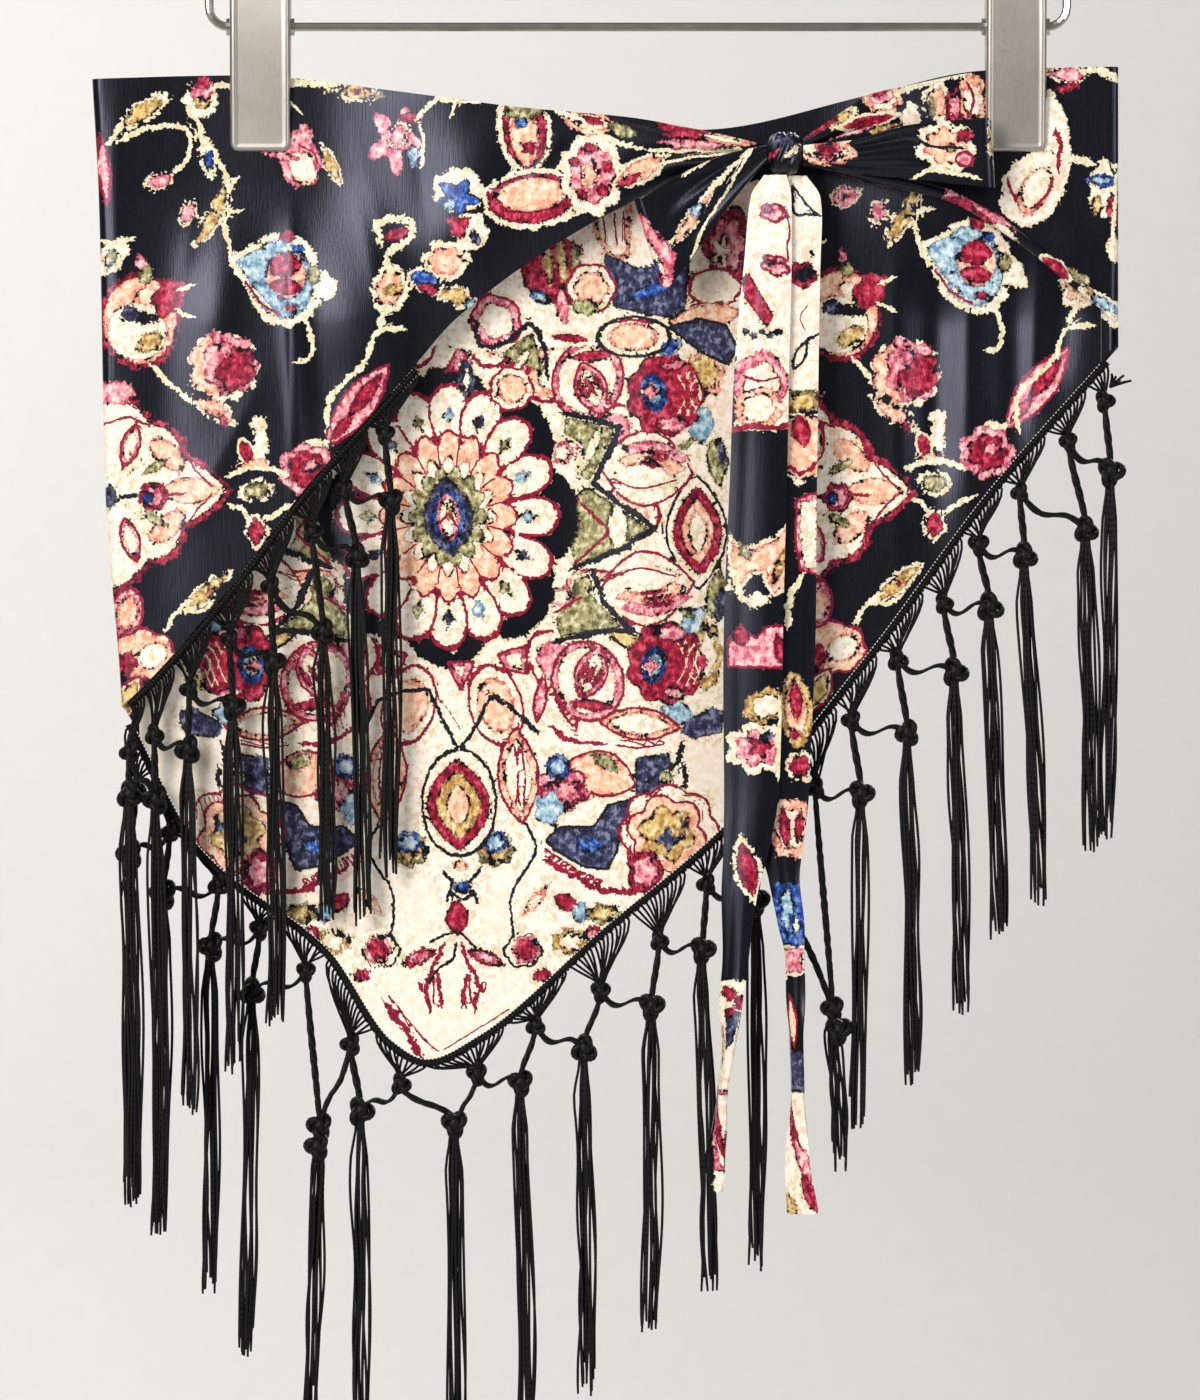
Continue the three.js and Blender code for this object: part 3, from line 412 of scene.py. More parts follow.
def almond(c, x, y, a, b, turn=0):
    """A leaf pointed at both ends: half its width is b times (1 - (u / a) squared)."""
    u, v = turned(c, x, y, turn)
    return (np.abs(v) - b * (1 - (u / a) ** 2)) / np.hypot(1, 2 * b * u / a**2)


def scallop(c, x, y, a, b, turn=0, lobes=6, depth=0.2):
    """A flower with round petals: its radius swells by depth times the cosine of half the petal angle."""
    u, v = turned(c, x, y, turn)
    swell = np.abs(np.cos(lobes * np.arctan2(v / b, u / a) / 2)) - 0.6
    return (np.hypot(u / a, v / b) - 1 - depth * swell) * min(a, b)


def star(c, x, y, a, b, turn=0, points=5, depth=0.3):
    """A pointed flower: its radius swells by depth times the cosine of points times the angle."""
    u, v = turned(c, x, y, turn)
    return (np.hypot(u / a, v / b) - 1 - depth * np.cos(points * np.arctan2(v / b, u / a))) * min(a, b)


def patch(c, *numbers):
    """A patch with straight sides: the distance to its nearest side, negative inside."""
    p = np.reshape(numbers, (-1, 2))
    q = np.roll(p, -1, 0)
    x, y = c.across[:, None], c.down[:, None]
    dx, dy = q[:, 0] - p[:, 0], q[:, 1] - p[:, 1]
    t = np.clip(((x - p[:, 0]) * dx + (y - p[:, 1]) * dy) / (dx**2 + dy**2), 0, 1)
    gap = np.hypot(x - p[:, 0] - t * dx, y - p[:, 1] - t * dy).min(1)
    side = p[:, 0] + (y - p[:, 1]) * dx / np.where(dy == 0, 1e-9, dy)
    crosses = ((p[:, 1] > y) != (q[:, 1] > y)) & (x < side)
    return np.where(crosses.sum(1) % 2 == 1, -gap, gap)


# %% [markdown]
# A motif is a short table. Each row names its inks, its shape and the shape's numbers in squares:
# for most shapes the middle across and down, the two half sizes and the turn in degrees, then the
# number of lobes and their depth. "cream>pink" sets the second ink into the first, and "+crimson"
# draws an outline. A line starts with half its width, and a patch only has its corners. A slash
# starts the next shape in the same inks, of the same kind unless it names another.

# %% Painting a table
SHAPES = {"oval": oval, "almond": almond, "scallop": scallop, "star": star, "patch": patch}
INSET, PATCH_INSET = 0.32, 4
OUTLINE = 1.2


def paint(c, table):
    """Paints the rows of a motif one over the other, and the shapes of a row in turn."""
    for row in table.replace("\n/", " /").strip().splitlines():
        colours, shapes = row.split(None, 1)
        inks, _, outline = colours.partition("+")
        for words in map(str.split, shapes.split("/")):
            if words[0].isalpha():
                kind = words.pop(0)
            numbers = [float(word) for word in words]
            if kind == "line":
                c.draw(inks, *line(c, *numbers))
                continue
            form = SHAPES[kind](c, *numbers)
            step = PATCH_INSET if kind == "patch" else INSET * min(numbers[2:4])
            for k, ink in enumerate(filter(None, inks.split(">"))):
                c.fill(ink, form + k * step)
            if outline:
                c.draw(outline, form / OUTLINE, np.abs(form) / OUTLINE)


def motifs(text):
    """Several tables in one text, apart by an empty line, each under its name."""
    return dict(block.split("\n", 1) for block in text.strip().split("\n\n"))


# %% [markdown]
# On the dark ground run cream vines with buds, a tulip, a round flower and half a palmette. They
# come back further along the cloth, where each of them is moved a little by the fold.

# %% Dark ground
DARK = motifs("""
vine
cream>ochre oval 142 113 31 10 -33
cream line 2.2 117 132 110 142 106 150 / 2.4 123 139 148 129 172 125 188 133 187 158 174 171
cream>pink oval 161 181 15 9 -20
pink+crimson almond 105 172 34 6 84

waist_flower
cream scallop 201 99 17 18
pink scallop 203 89 12 11 0 5 0.3
crimson oval 203 83 8 6 -20
ochre oval 203 104 7 5
cream line 2.6 217 87 226 85 238 87 / 2.2 190 113 199 122 202 136 / almond 208 158 22 10 80
royal oval 209 161 8 5 80

leaf_stem
cream line 2.4 217 163 226 176 229 200 225 224 229 245 236 262 / 2 229 187 236 180 / 2 229 212 240 211
cream>ochre almond 211 222 34 9 122
ochre almond 220 203 18 5 105
cream>pink scallop 188 213 9 13 20 5 0.3

tulip
cream oval 284 280 39 47 -14 / almond 264 268 36 24 14 / 318 284 24 15 34
sky oval 282 280 31 39 -14 / almond 263 268 26 17 14
cream almond 262 300 30 3 48
olive oval 315 276 6 9
peach oval 287 276 20 24
crimson scallop 285 266 15 12 0 5 0.25 / almond 287 288 17 8 8 / oval 287 238 7 6
royal oval 299 250 5 4
crimson oval 292 309 6 5 / line 1.2 247 284 262 304 281 316
cream line 2.2 306 322 313 345 309 360 299 363

fold_leaf
cream almond 114 257 24 12 -52
olive oval 112 259 5 9 20
cream line 1.6 104 241 118 245 133 240

round_flower
crimson oval 141 321 41 48
peach oval 141 321 37 44
cream oval 138 332 30 29 / 152 299 14 9 30
ground oval 144 318 20 6 4
slate oval 131 314 8 7
crimson scallop 170 298 15 19 40 5 0.3
olive oval 147 276 7 8
pink almond 142 263 9 5 80
ochre oval 150 343 14 8 -30
cream line 2 182 290 192 286 / 2 180 312 192 317 / 2.2 154 368 166 381 180 392 196 404

pink_bud
cream star 224 368 34 34 0 11 0.08
peach scallop 219 366 27 29 0 7 0.2
pink scallop 231 365 25 29 0 7 0.25
crimson scallop 237 369 17 22 30 5 0.3
pink oval 226 351 6 9 / almond 218 340 10 4 70
cream>peach almond 213 407 31 11 38
ground almond 204 396 15 4 25
crimson almond 224 421 8 3 60

clip_flower
pink scallop 300 161 20 27 -20 5 0.2
cream oval 303 168 13 19 -25
pink almond 280 156 18 4 10 / oval 303 137 9 11
crimson line 0.9 300 145 312 152 318 162
cream>ochre almond 331 165 23 7 62

waist_edge
cream line 4.5 292 82 308 84 324 86 340 89
cream>ochre scallop 358 93 22 9 8
crimson oval 358 92 5 3
olive oval 380 96 6 4
cream line 1.2 292 104 301 113

star_flower
pink star 395 140 20 26 10 5 0.42
cream>pink oval 399 136 10 15 25
crimson almond 411 119 13 4 5
sky almond 414 156 11 5 80
cream line 1.6 421 128 424 146 422 166 / 2.2 419 118 430 106 441 101 455 101 / 1.8 456 102 452 116
/ 1.6 455 101 470 104 486 102

chain
cream scallop 459 192 25 22 0 7 0.15
royal star 458 199 17 15 10 5 0.3
sky oval 450 206 7 6
cream scallop 471 233 17 19
crimson patch 447 220 470 219 463 240 452 236
slate almond 476 240 9 4 60
cream>peach scallop 446 262 23 19
cream>royal almond 426 281 21 12 18
crimson almond 431 290 15 5 15
cream>ochre scallop 455 297 20 10 15 5 0.25
sky oval 471 305 6 5
cream line 3.2 381 241 378 226 396 219 412 226 409 241 393 250 385 264
crimson almond 396 236 13 6 -20
cream>peach scallop 390 290 18 24 10
ochre oval 394 291 5 9 80
cream line 3 388 262 390 275 / 3.4 386 311 382 325
/ 2.4 401 331 384 331 373 340 366 362 341 387 329 404 329 434

hem_flowers
pink+crimson almond 358 406 52 16 -52
crimson almond 366 396 26 7 -52 / 342 428 15 5 -50
cream oval 313 447 19 7 -14
pink>crimson scallop 308 470 27 25 0 7 0.2
pink star 312 466 7 6

cross
cream almond 261 442 25 7 86 / oval 259 424 8 6
crimson+cream almond 247 453 15 8 70
peach oval 255 465 14 5
cream line 2.4 231 476 245 470 258 469 272 470 284 474
cream>olive oval 257 491 17 12
cream line 2.2 233 506 243 509 252 519 270 519 282 510 296 504
cream>crimson almond 257 532 17 12 88

palmette
crimson oval 104 491 67 104 / 158 447 32 25 35 / 158 536 32 27 -35 / almond 172 491 62 40
cream oval 104 491 62 99 / 157 447 27 20 35 / 157 536 27 22 -35 / almond 170 491 58 35
peach oval 168 455 21 11 42 / 168 527 21 11 -42 / almond 190 491 30 13
pink>cream+crimson almond 131 446 23 9 106 / 131 540 23 9 74
olive almond 156 467 14 4 -30 / 156 520 14 4 30
crimson line 1 178 440 194 466 212 486 / 1 178 541 194 516 212 495 / 1.1 104 425 128 418 150 426
black line 2 104 497 122 497 140 495
slate oval 111 497 6 10
crimson>pink scallop 154 497 14 14
royal oval 149 498 5 5
crimson line 1.6 166 495 184 494
pink scallop 112 393 24 11

corner
pink>peach+crimson oval 128 613 15 25 8
cream>ochre almond 207 592 35 9 -39
crimson oval 211 592 4 4
cream line 2.4 166 630 178 612 190 603 / 1.8 184 610 200 612 212 603
peach+crimson scallop 146 655 30 25 10 7 0.14
cream oval 153 656 16 12 -30
crimson scallop 127 663 10 10 0 5 0.4
cream>ochre+crimson almond 128 699 26 12 -60""")
# How far each motif has moved where the dark ground comes back on the right, in squares
REPEAT = {"tulip": (690, -14), "leaf_stem": (691, -2), "round_flower": (701, -8), "pink_bud": (682, 5),
          "hem_flowers": (680, -18), "cross": (678, -8), "palmette": (684, 0), "corner": (690, -8),
          "fold_leaf": (690, 0), "vine": (686, 10), "chain": (690, -6)}


def dark_ground(c):
    for motif in DARK.values():
        paint(c, motif)


def dark_repeat(c):
    for name, (across, down) in REPEAT.items():
        paint(c.at(across, down), DARK[name])


# %% [markdown]
# The pale part carries the rosette on a dark ring, a toothed band round it, framed buds and roses,
# and a small sprig at the corner. The real design is the same on both sides of its middle line, so
# each motif is drawn once, and once more with the paper turned over.

# %% Medallion
AXIS, WAIST_LINE = 452.0, 516.0
CREAM_EDGES = (-60, 776)
RING, PETALS = (168, 196), (80, 101)
TOOTHED_BAND = """
cream>olive patch 563 413 592 418 621 427 606 455 593 483 576 478 580 446 560 434
/ 586 481 621 504 655 528 616 553 575 569 566 548 574 526 566 500
/ 591 570 603 602 631 631 596 634 558 641 552 620 566 596 572 576
cream almond 592 447 26 5 112 / 618 527 26 10 88 / 604 603 22 5 40
black line 2.6 565 412 592 418 621 427 / 2.6 621 427 607 455 593 483 / 2.6 593 483 624 505 655 528
/ 2.6 655 528 614 552 574 568 / 2.6 593 573 608 606 631 630 / 2.6 631 630 594 633 558 641
crimson line 1.5 578 500 596 518 608 532 592 548 575 563 / 1.5 556 444 566 448 578 447
pink>cream scallop 561 452 12 11 0 5 0.3 / 562 596 12 10 0 5 0.3
crimson line 1.3 556 612 568 604 580 598"""
FLANK = """
cream+black almond 697 531 58 30 88
crimson>peach>cream almond 698 531 44 24 88
sky scallop 702 424 10 17 10 5 0.3 / 694 623 12 16 20 5 0.3
sky>royal scallop 669 343 12 13 0 5 0.3
peach>ochre scallop 706 371 17 25 0 7 0.3
olive almond 716 462 24 8 80 / 716 594 26 9 100
slate almond 722 455 20 5 80 / 720 604 18 6 96
ochre>cream scallop 708 655 13 32 0 7 0.3
sky scallop 676 713 14 11 0 5 0.3
slate patch 684 722 712 708 724 712 722 732 696 738 684 734
peach>cream+crimson almond 640 724 40 16 4
crimson line 2.2 553 728 566 738 584 743 602 743 / 1.1 618 745 640 748 662 744
ochre+black almond 628 640 20 7 20
peach+crimson almond 566 700 30 9 70
pink+crimson almond 540 700 22 6 100"""
ROSE = """
crimson scallop 0 0 38 40 0 9 0.14
cream line 0.6 12 -20 20 0 12 20 / 0.6 20 -22 28 0 20 23 / 0.6 28 -20 35 0 27 24
pink scallop 6 -30 15 7 0 5 0.3 / almond 8 30 14 5 10
royal>sky oval -12 2 12 18 12
cream>pink star -15 3 8 8 0 4 0.3"""
LOTUS = """
cream+crimson almond 0 0 48 37 8
pink almond 10 -15 34 12 10
peach almond 6 -4 34 12 8
cream almond 0 9 34 13 8
crimson almond 6 -4 14 1.8 6 / 10 -10 14 1.8 6 / 14 -16 12 1.8 6 / line 0.9 -34 10 -6 20 30 12
olive almond 40 -24 10 3 -30"""
FRAMED_BUD = """
pink+crimson oval 0 0 35 40 20
cream oval -1 0 29 34 20
pink>cream+crimson almond 3 8 28 16 70
crimson almond -6 9 13 2.6 58 / 2 6 13 2.6 58 / 10 3 12 2.6 58 / 4 -24 22 5 -6"""
BELOW = """
peach>cream+crimson almond 518 776 48 20 86
crimson line 1.1 514 748 518 776 516 804 / 1.1 521 748 525 776 523 804
peach+crimson almond 602 774 36 22 20
pink+crimson scallop 563 788 24 20 20 6 0.35
crimson>pink scallop 566 792 18 13 20 6 0.4
royal>sky oval 558 767 12 12
sky scallop 549 809 13 15 0 5 0.35
olive oval 605 762 12 6 30
slate+black patch 545 841 560 827 594 827 609 805 631 800 626 824 616 852 608 870 582 866 560 853
royal oval 590 846 12 6
slate patch 636 758 668 754 676 776 664 794 636 796
black line 2.4 650 780 664 772 676 764 682 746 / 2.4 666 792 684 788 686 770
cream>olive oval 667 778 8 9
cream+crimson scallop 669 833 48 46 0 8 0.12
peach>ochre+crimson scallop 667 834 37 36 15 6 0.24
slate star 668 840 9 10 0 4 0.3 / oval 684 828 4 10 10
crimson>pink scallop 645 872 17 22 0 5 0.25
crimson line 1.4 547 850 570 866 602 882 / 2.8 549 862 572 875 602 890 634 892 / almond 566 903 14 8 30
sky oval 580 913 7 10
olive>ochre scallop 603 914 17 9 0 7 0.3
ochre>cream scallop 571 942 17 12 0 7 0.3
crimson>pink oval 593 935 9 8
olive>ochre scallop 495 850 18 16 0 8 0.3
royal>sky scallop 495 843 13 11 0 6 0.3
black line 1.3 526 824 533 838 535 854 524 872 513 890 511 912 513 934
cream+black scallop 523 951 18 16 0 6 0.2
pink>crimson scallop 526 950 13 13 0 6 0.3
crimson scallop 543 976 8 6 0 5 0.4
crimson>pink almond 486 958 20 7 22
crimson line 2.4 462 948 470 966 478 984 475 1008 / 2 468 975 464 992 462 1004
/ 0.9 486 984 482 996 484 1004
peach>cream almond 536 900 20 5 -50"""
MIDDLE = """
pink>cream+crimson patch 446 662 474 662 460 690 / 497 654 524 646 528 674 506 670
/ 407 654 380 646 376 674 398 670
black line 1.8 366 722 378 702 400 692 / 1.8 400 692 414 690 428 689 / 1.8 428 689 442 720 458 748
/ 1.8 462 748 478 722 491 694 / 2.2 491 694 514 710 535 731
crimson line 0.6 440 700 452 716 460 730
cream>peach+black oval 459 803 37 53
crimson>ochre>peach almond 458 805 46 31 88
peach almond 460 866 8 5
black line 1.8 445 874 452 884 448 898 / 1.8 480 870 470 884 476 900
sky>royal oval 462 888 9 6
black line 1.4 450 892 462 900 472 893
crimson almond 457 918 18 11 88
black line 1.3 455 932 442 936 432 942 / 1.3 458 932 466 938 476 950 / 1.4 455 945 452 960 440 968 430 982
crimson line 3.2 386 1004 404 1030 420 1056 / 0.7 392 1000 414 1028 436 1051
/ 0.7 442 1051 472 1033 508 1010"""
UPPER_FIELD = """
cream patch 430 340 560 228 600 196 700 150 776 140 770 330 600 345 470 352
crimson patch 520 262 566 238 582 246 572 304 542 300 524 284
ochre almond 548 262 26 4 84 / 562 260 26 4 84
olive almond 576 262 24 4 84
royal>sky almond 540 296 13 6 30
pink almond 562 304 20 6 84
peach>cream patch 592 208 632 200 630 256 612 260 596 236
crimson line 0.8 603 214 606 242 / 0.8 614 212 617 244 / 0.8 624 210 625 240
slate patch 604 252 640 268 690 258 684 318 652 314 614 306
royal almond 650 290 24 6 -20
cream>peach+crimson scallop 591 287 24 24 0 6 0.12
olive scallop 585 306 12 7 0 5 0.3
cream>peach+black oval 634 336 36 20
crimson line 1.4 612 322 630 319 650 322 / almond 570 337 19 3.5 6
pink>cream+crimson scallop 496 320 24 26 -40 5 0.12
black line 2.4 474 320 482 345 506 341 527 323
olive patch 501 354 532 331 544 372
cream almond 523 357 15 4 -50
black line 2.4 532 322 544 344 547 374
cream>peach+crimson scallop 511 388 21 21 0 7 0.1
slate almond 466 378 18 8 90
cream almond 466 378 13 4 90
crimson>pink scallop 728 243 24 38 0 6 0.25
pink>cream star 722 250 10 17 0 5 0.4
cream+crimson scallop 715 286 26 18 0 5 0.1
crimson line 1.2 692 304 712 302 735 300
peach almond 706 316 38 12 -8
slate+black patch 670 326 700 318 726 324 738 348 728 364 700 350
ground patch 560 60 900 60 900 186 790 186 700 172 600 150
crimson line 1.4 562 66 578 110 604 152
cream oval 845 196 13 10 -20
pink oval 845 196 11 8 -20
ground oval 846 196 6 4 -20"""


def rosette(c, x=448, y=516, petals=16):
    """Rounded petals on an ellipse, an inner ring of peach petals, and a jewel in the middle."""
    c.fill("ground", scallop(c, x, y, 124, 144, 0, 8, 0.14))
    turns = 2 * math.pi * np.arange(petals) / petals
    for k, angle in enumerate(turns):
        dx, dy = PETALS[0] * math.cos(angle), PETALS[1] * math.sin(angle)
        px, py, turn = x + dx, y + dy, math.degrees(math.atan2(dy, dx))
        mark = ("sky", "slate", "olive")[k % 3]
        paint(c, f"""
            cream+crimson oval {px} {py} 31 18.5 {turn} 0.2
            {mark} star {px} {py} 7 4 {turn} 4 0.35""")
    paint(c, f"""
        peach>cream+crimson scallop {x} {y} 64 80 0 16 0.2
        olive scallop {x} {y} 36 46 0 14 0.26
        slate>royal almond {x} {y + 1} 41 25 84
        pink>cream almond {x} {y + 1} 27 13 84
        ochre oval {x + 1} {y - 3} 3 6
        crimson line 1.2 {x - 8} {y + 6} {x} {y - 2} {x + 8} {y + 8}""")
    for angle in turns + math.pi / petals:
        cos, sin = math.cos(angle), math.sin(angle)
        paint(c, f"crimson line 0.8 {x + 40 * cos} {y + 51 * sin} {x + 60 * cos} {y + 76 * sin}")


def medallion(c):
    """The cream field with everything that stands on it, from the ring outwards."""
    c.fill("cream", np.maximum(CREAM_EDGES[0] - c.across, c.across - CREAM_EDGES[1]))
    for side in (c, c.at(2 * AXIS, 0, flip_x=-1)):
        for k in range(7):
            angle = math.radians(-75 + 25 * k)
            x, y = AXIS + RING[0] * math.cos(angle), WAIST_LINE + RING[1] * math.sin(angle)
            inks = ("cream>peach", "peach>cream", "cream>pink")[k % 3]
            paint(side, f"{inks}+crimson oval {x} {y} 40 26 {-75 + 25 * k}")
        paint(side, FLANK)
        for lotus, flip, bud, flower in ((467.925, 1, 379, 394), (588.075, -1, 681, 663)):
            paint(side.at(646, lotus, flip_y=flip), LOTUS)
            paint(side.at(588, bud, flip_y=flip), FRAMED_BUD)
            paint(side.at(666, flower, flip_y=-flip), ROSE)
        paint(side, TOOTHED_BAND)
        paint(side, BELOW)
        paint(side.at(0, 2 * WAIST_LINE, flip_y=-1), BELOW)
    rosette(c)
    paint(c, MIDDLE)
    paint(c.at(0, 2 * WAIST_LINE, flip_y=-1), MIDDLE)


def back_print(c):
    dark_repeat(c)
    medallion(c)
    paint(c, UPPER_FIELD)


# %% [markdown]
# The flaps, loops and tails are further along the same cloth. Their motifs are those of the dark
# ground and pieces of a second medallion, drawn where they come to lie.

# %% Flaps, loops and tails
LEFT_GATHERS = """
cream oval 524 130 27 44 -8 / 532 200 30 50 84
crimson oval 525 132 21 38 -8 / 532 200 24 43 84
peach oval 524 134 15 36 -8 / 532 196 17 36 84
olive scallop 524 112 18 8 0 5 0.3
royal oval 521 124 6 5
crimson star 530 150 7 5
cream>pink scallop 592 176 31 41 0 9 0.14
crimson oval 574 164 5 4 / 582 196 6 4 40 / 603 192 5 5 / 607 168 5 4 60 / 590 150 6 4
cream>peach scallop 590 177 9 13 0 5 0.3
peach>cream almond 590 124 28 12 10
crimson almond 588 122 16 4 10
cream line 2.4 556 112 580 122 610 142 640 150
cream>peach almond 640 172 34 13 -28
crimson almond 628 182 14 4 -28
olive almond 622 132 16 6 20
crimson patch 654 116 700 126 730 136 700 142 664 138
pink almond 690 146 30 4 4
peach>cream almond 725 141 30 6 10
cream line 1.8 650 152 690 152 740 152 / 1.4 655 168 690 160 735 156
black line 1.6 600 112 630 126 670 134"""
RIGHT_FLAP = """
cream>ochre scallop 838 119 17 11 -20
crimson almond 822 128 22 4 -30
peach>cream scallop 882 101 19 17
pink oval 880 97 11 8
crimson oval 878 93 6 4
crimson+cream almond 868 123 32 6 -14
ochre almond 884 129 20 3 -16
pink almond 856 133 22 3 -16
cream almond 910 119 17 9 84 / line 3.4 898 93 912 88 926 84 944 76 966 73
cream>peach scallop 936 103 15 19 0 5 0.14
olive almond 930 108 13 4 80
crimson>pink scallop 955 107 10 17 0 5 0.25
peach>cream scallop 973 100 14 25 0 7 0.2
crimson line 1.2 968 84 974 100 968 118
cream>pink almond 1068 75 24 9 4
crimson almond 1066 88 13 4 -14
cream line 3 1084 72 1100 71 1116 79 / oval 1050 142 19 52 -4 / 1033 188 30 40 28
peach oval 1034 192 14 24 28
cream oval 1036 188 12 22 28
crimson line 2.4 1056 134 1060 150 1058 168 / 1.6 1052 180 1047 194 1036 206
/ 1.6 1008 181 1011 192 1016 200
olive almond 1042 92 10 4 80
cream line 3 1070 158 1084 162 1098 168 1114 168 / scallop 1102 190 14 28 0 5 0.2
royal>sky almond 1103 181 17 6 6
crimson oval 1113 210 6 15
ochre oval 1096 206 5 9
cream oval 1113 250 7 12 / line 1.6 1117 168 1112 230 1113 260
pink patch 944 190 1016 226 1016 250 944 212
crimson almond 962 206 18 5 26 / 980 218 14 3.4 30
cream almond 1001 232 18 6 28
crimson+cream patch 1040 256 1062 262 1070 282 1046 276
olive almond 1078 278 14 6 36
cream patch 1078 282 1120 306 1120 330 1084 306
sky almond 1102 304 16 5 34
ochre almond 1088 292 8 3 34"""
LEFT_LOOP_PRINT = """
cream line 2.2 752 150 724 178 700 206 672 246 660 262 / 1.3 748 158 728 190 706 226 690 262
cream>peach almond 690 224 34 6 -52
sky oval 697 213 7 5 -50
pink patch 630 222 640 216 664 244 676 258 668 296 652 290 634 250
crimson almond 645 250 34 5 62
cream almond 652 256 28 4 60
royal almond 652 268 10 5 40
crimson almond 656 282 12 4 60
cream line 1.6 740 148 716 158 684 178"""
RIGHT_LOOP_PRINT = """
peach>cream almond 822 153 34 15 8
pink>crimson scallop 826 154 12 9 0 5 0.3
cream>peach scallop 943 150 28 24 10 7 0.2
crimson scallop 962 140 7 6 0 5 0.3
pink+crimson oval 962 163 8 7
ochre oval 948 152 5 4
cream line 1.8 905 187 925 174 950 176 975 182 / 1.2 842 146 868 136 900 128
cream>ochre almond 990 146 28 5 84
black line 1.5 900 140 930 150 960 152"""
KNOT_PRINT = """
slate almond 782 143 12 5 -20
cream almond 790 156 10 3 -40
crimson almond 772 158 9 3 -40"""
FRONT_TAIL_PRINT = """
cream patch 735 150 800 150 800 432 735 432
crimson patch 742 280 748 276 772 318 766 330 744 300
pink+crimson scallop 772 216 12 8 10 5 0.3
crimson oval 767 213 4 3 / line 1 783 212 788 230 786 248 787 262
pink+crimson scallop 774 268 13 9 20 5 0.3
crimson almond 770 265 8 2.4 10
slate oval 745 334 3 2.4 / 753 338 3 2.4 / 761 334 3 2.4 / 769 338 3 2.4 / 777 334 3 2.4
pink>cream scallop 760 385 26 30 0 5 0.12
crimson line 1.1 744 378 760 384 776 380
peach>cream scallop 758 410 24 20 0 5 0.12
crimson line 2.8 730 431 752 428 776 430 800 426
ground patch 728 435 806 431 806 540 770 536 750 545 728 530
cream>peach patch 728 535 742 548 756 546 775 536 790 520 790 590 770 596 762 574 748 578 740 596 728 590
olive almond 744 552 10 4 60
ochre almond 778 568 20 4 108
cream line 3 733 572 738 592 748 603 760 602 / oval 757 600 10 7
pink+crimson patch 728 640 740 626 756 640 764 628 786 626 786 668 728 666
crimson oval 741 637 8 8 / almond 780 650 14 6 80
ochre>cream scallop 765 706 22 16 -20
cream>pink scallop 757 748 30 24 0 7 0.25
crimson star 759 746 9 9 0 5 0.4
slate oval 766 736 6 4 -30
cream line 2 778 700 779 730 778 776
cream>crimson almond 747 868 34 14 78
cream patch 715 980 765 980 765 1200 715 1200
crimson scallop 730 992 8 5 20 5 0.5 / 742 1002 7 5 60 5 0.5 / 732 1012 6 5 10 5 0.5
slate patch 728 1016 742 1012 738 1040 730 1048
ochre almond 722 1045 20 3 88
pink>cream patch 715 1088 740 1088 736 1168 715 1168
crimson almond 720 1120 36 3.6 84 / 727 1148 18 2.6 96"""
REAR_TAIL_PRINT = """
cream patch 774 150 830 150 830 398 774 398
black line 1.3 792 189 792 214 804 217 818 218 / 1.2 793 190 803 204 817 217 / oval 811 256 3 4
crimson>ground scallop 802 277 13 12 10 5 0.3
crimson line 0.6 806 308 799 318 804 332
cream+black almond 799 357 15 5 116
black line 1.4 818 335 811 340 805 344
olive>ochre scallop 802 404 20 12
cream>peach patch 778 414 826 414 822 476 800 486 780 474
crimson almond 800 432 16 9 74 / line 2 784 466 800 474 818 462
pink>cream+crimson patch 796 500 820 492 820 575 800 572 794 536
cream line 2.6 800 578 792 592 788 606 787 624
ochre>peach almond 795 710 40 17 86
crimson almond 795 700 20 6 86 / oval 793 735 5 5
cream>crimson scallop 799 766 14 15
peach>cream scallop 790 828 21 29
crimson almond 784 828 20 5 84 / 798 826 16 4 96
royal patch 774 884 806 884 806 946 776 940
sky scallop 786 908 6 20 0 5 0.4
cream oval 796 924 4 9
cream>pink patch 776 944 808 944 808 972 776 978
peach+crimson almond 794 1020 26 5 82
slate patch 782 1050 810 1050 810 1090 782 1090
cream patch 776 1090 826 1090 826 1220 776 1220
crimson almond 795 1130 34 3 80
pink almond 803 1160 26 5 74
crimson almond 809 1192 20 6 70
ochre almond 790 1204 13 5 70"""


def left_print(c):
    dark_ground(c)
    paint(c, LEFT_GATHERS)


# %% [markdown]
# ## The printed satin
# The real cloth is polyester satin with an ink print. Satin floats its threads, so it has a broad
# soft gloss, and the print soaks in, so its edges are a little ragged and its colours mottled like
# the wool carpet that it imitates. The material jitters every distance with fine noise, lays the
# inks over each other, and adds the weave as a shallow bump.

# %% Colour and node helpers
def linear(code, alpha=True):
    """sRGB hex to the linear colour that shaders work in."""
    parts = [int(code[i:i + 2], 16) / 255 for i in (1, 3, 5)]
    colour = [p / 12.92 if p <= 0.04045 else ((p + 0.055) / 1.055) ** 2.4 for p in parts]
    return (*colour, 1.0) if alpha else tuple(colour)


def node(tree, kind, settings=None, **links):
    """Adds a node. settings are its properties, and links its inputs, by name or _number, as values
    or as the sockets that feed them."""
    made = tree.nodes.new(kind)
    for key, value in (settings or {}).items():
        setattr(made, key, value)
    for key, value in links.items():
        socket = made.inputs[int(key[1:])] if key[0] == "_" else made.inputs[key.replace("_", " ")]
        if isinstance(value, bpy.types.NodeSocket):
            tree.links.new(value, socket)
        else:
            socket.default_value = value
    return made


def new_material(name):
    """An empty material, its tree and the place on the piece."""
    made = bpy.data.materials.new(name)
    made.use_nodes = True
    made.node_tree.nodes.clear()
    return made, made.node_tree, node(made.node_tree, "ShaderNodeTexCoord").outputs["Object"]


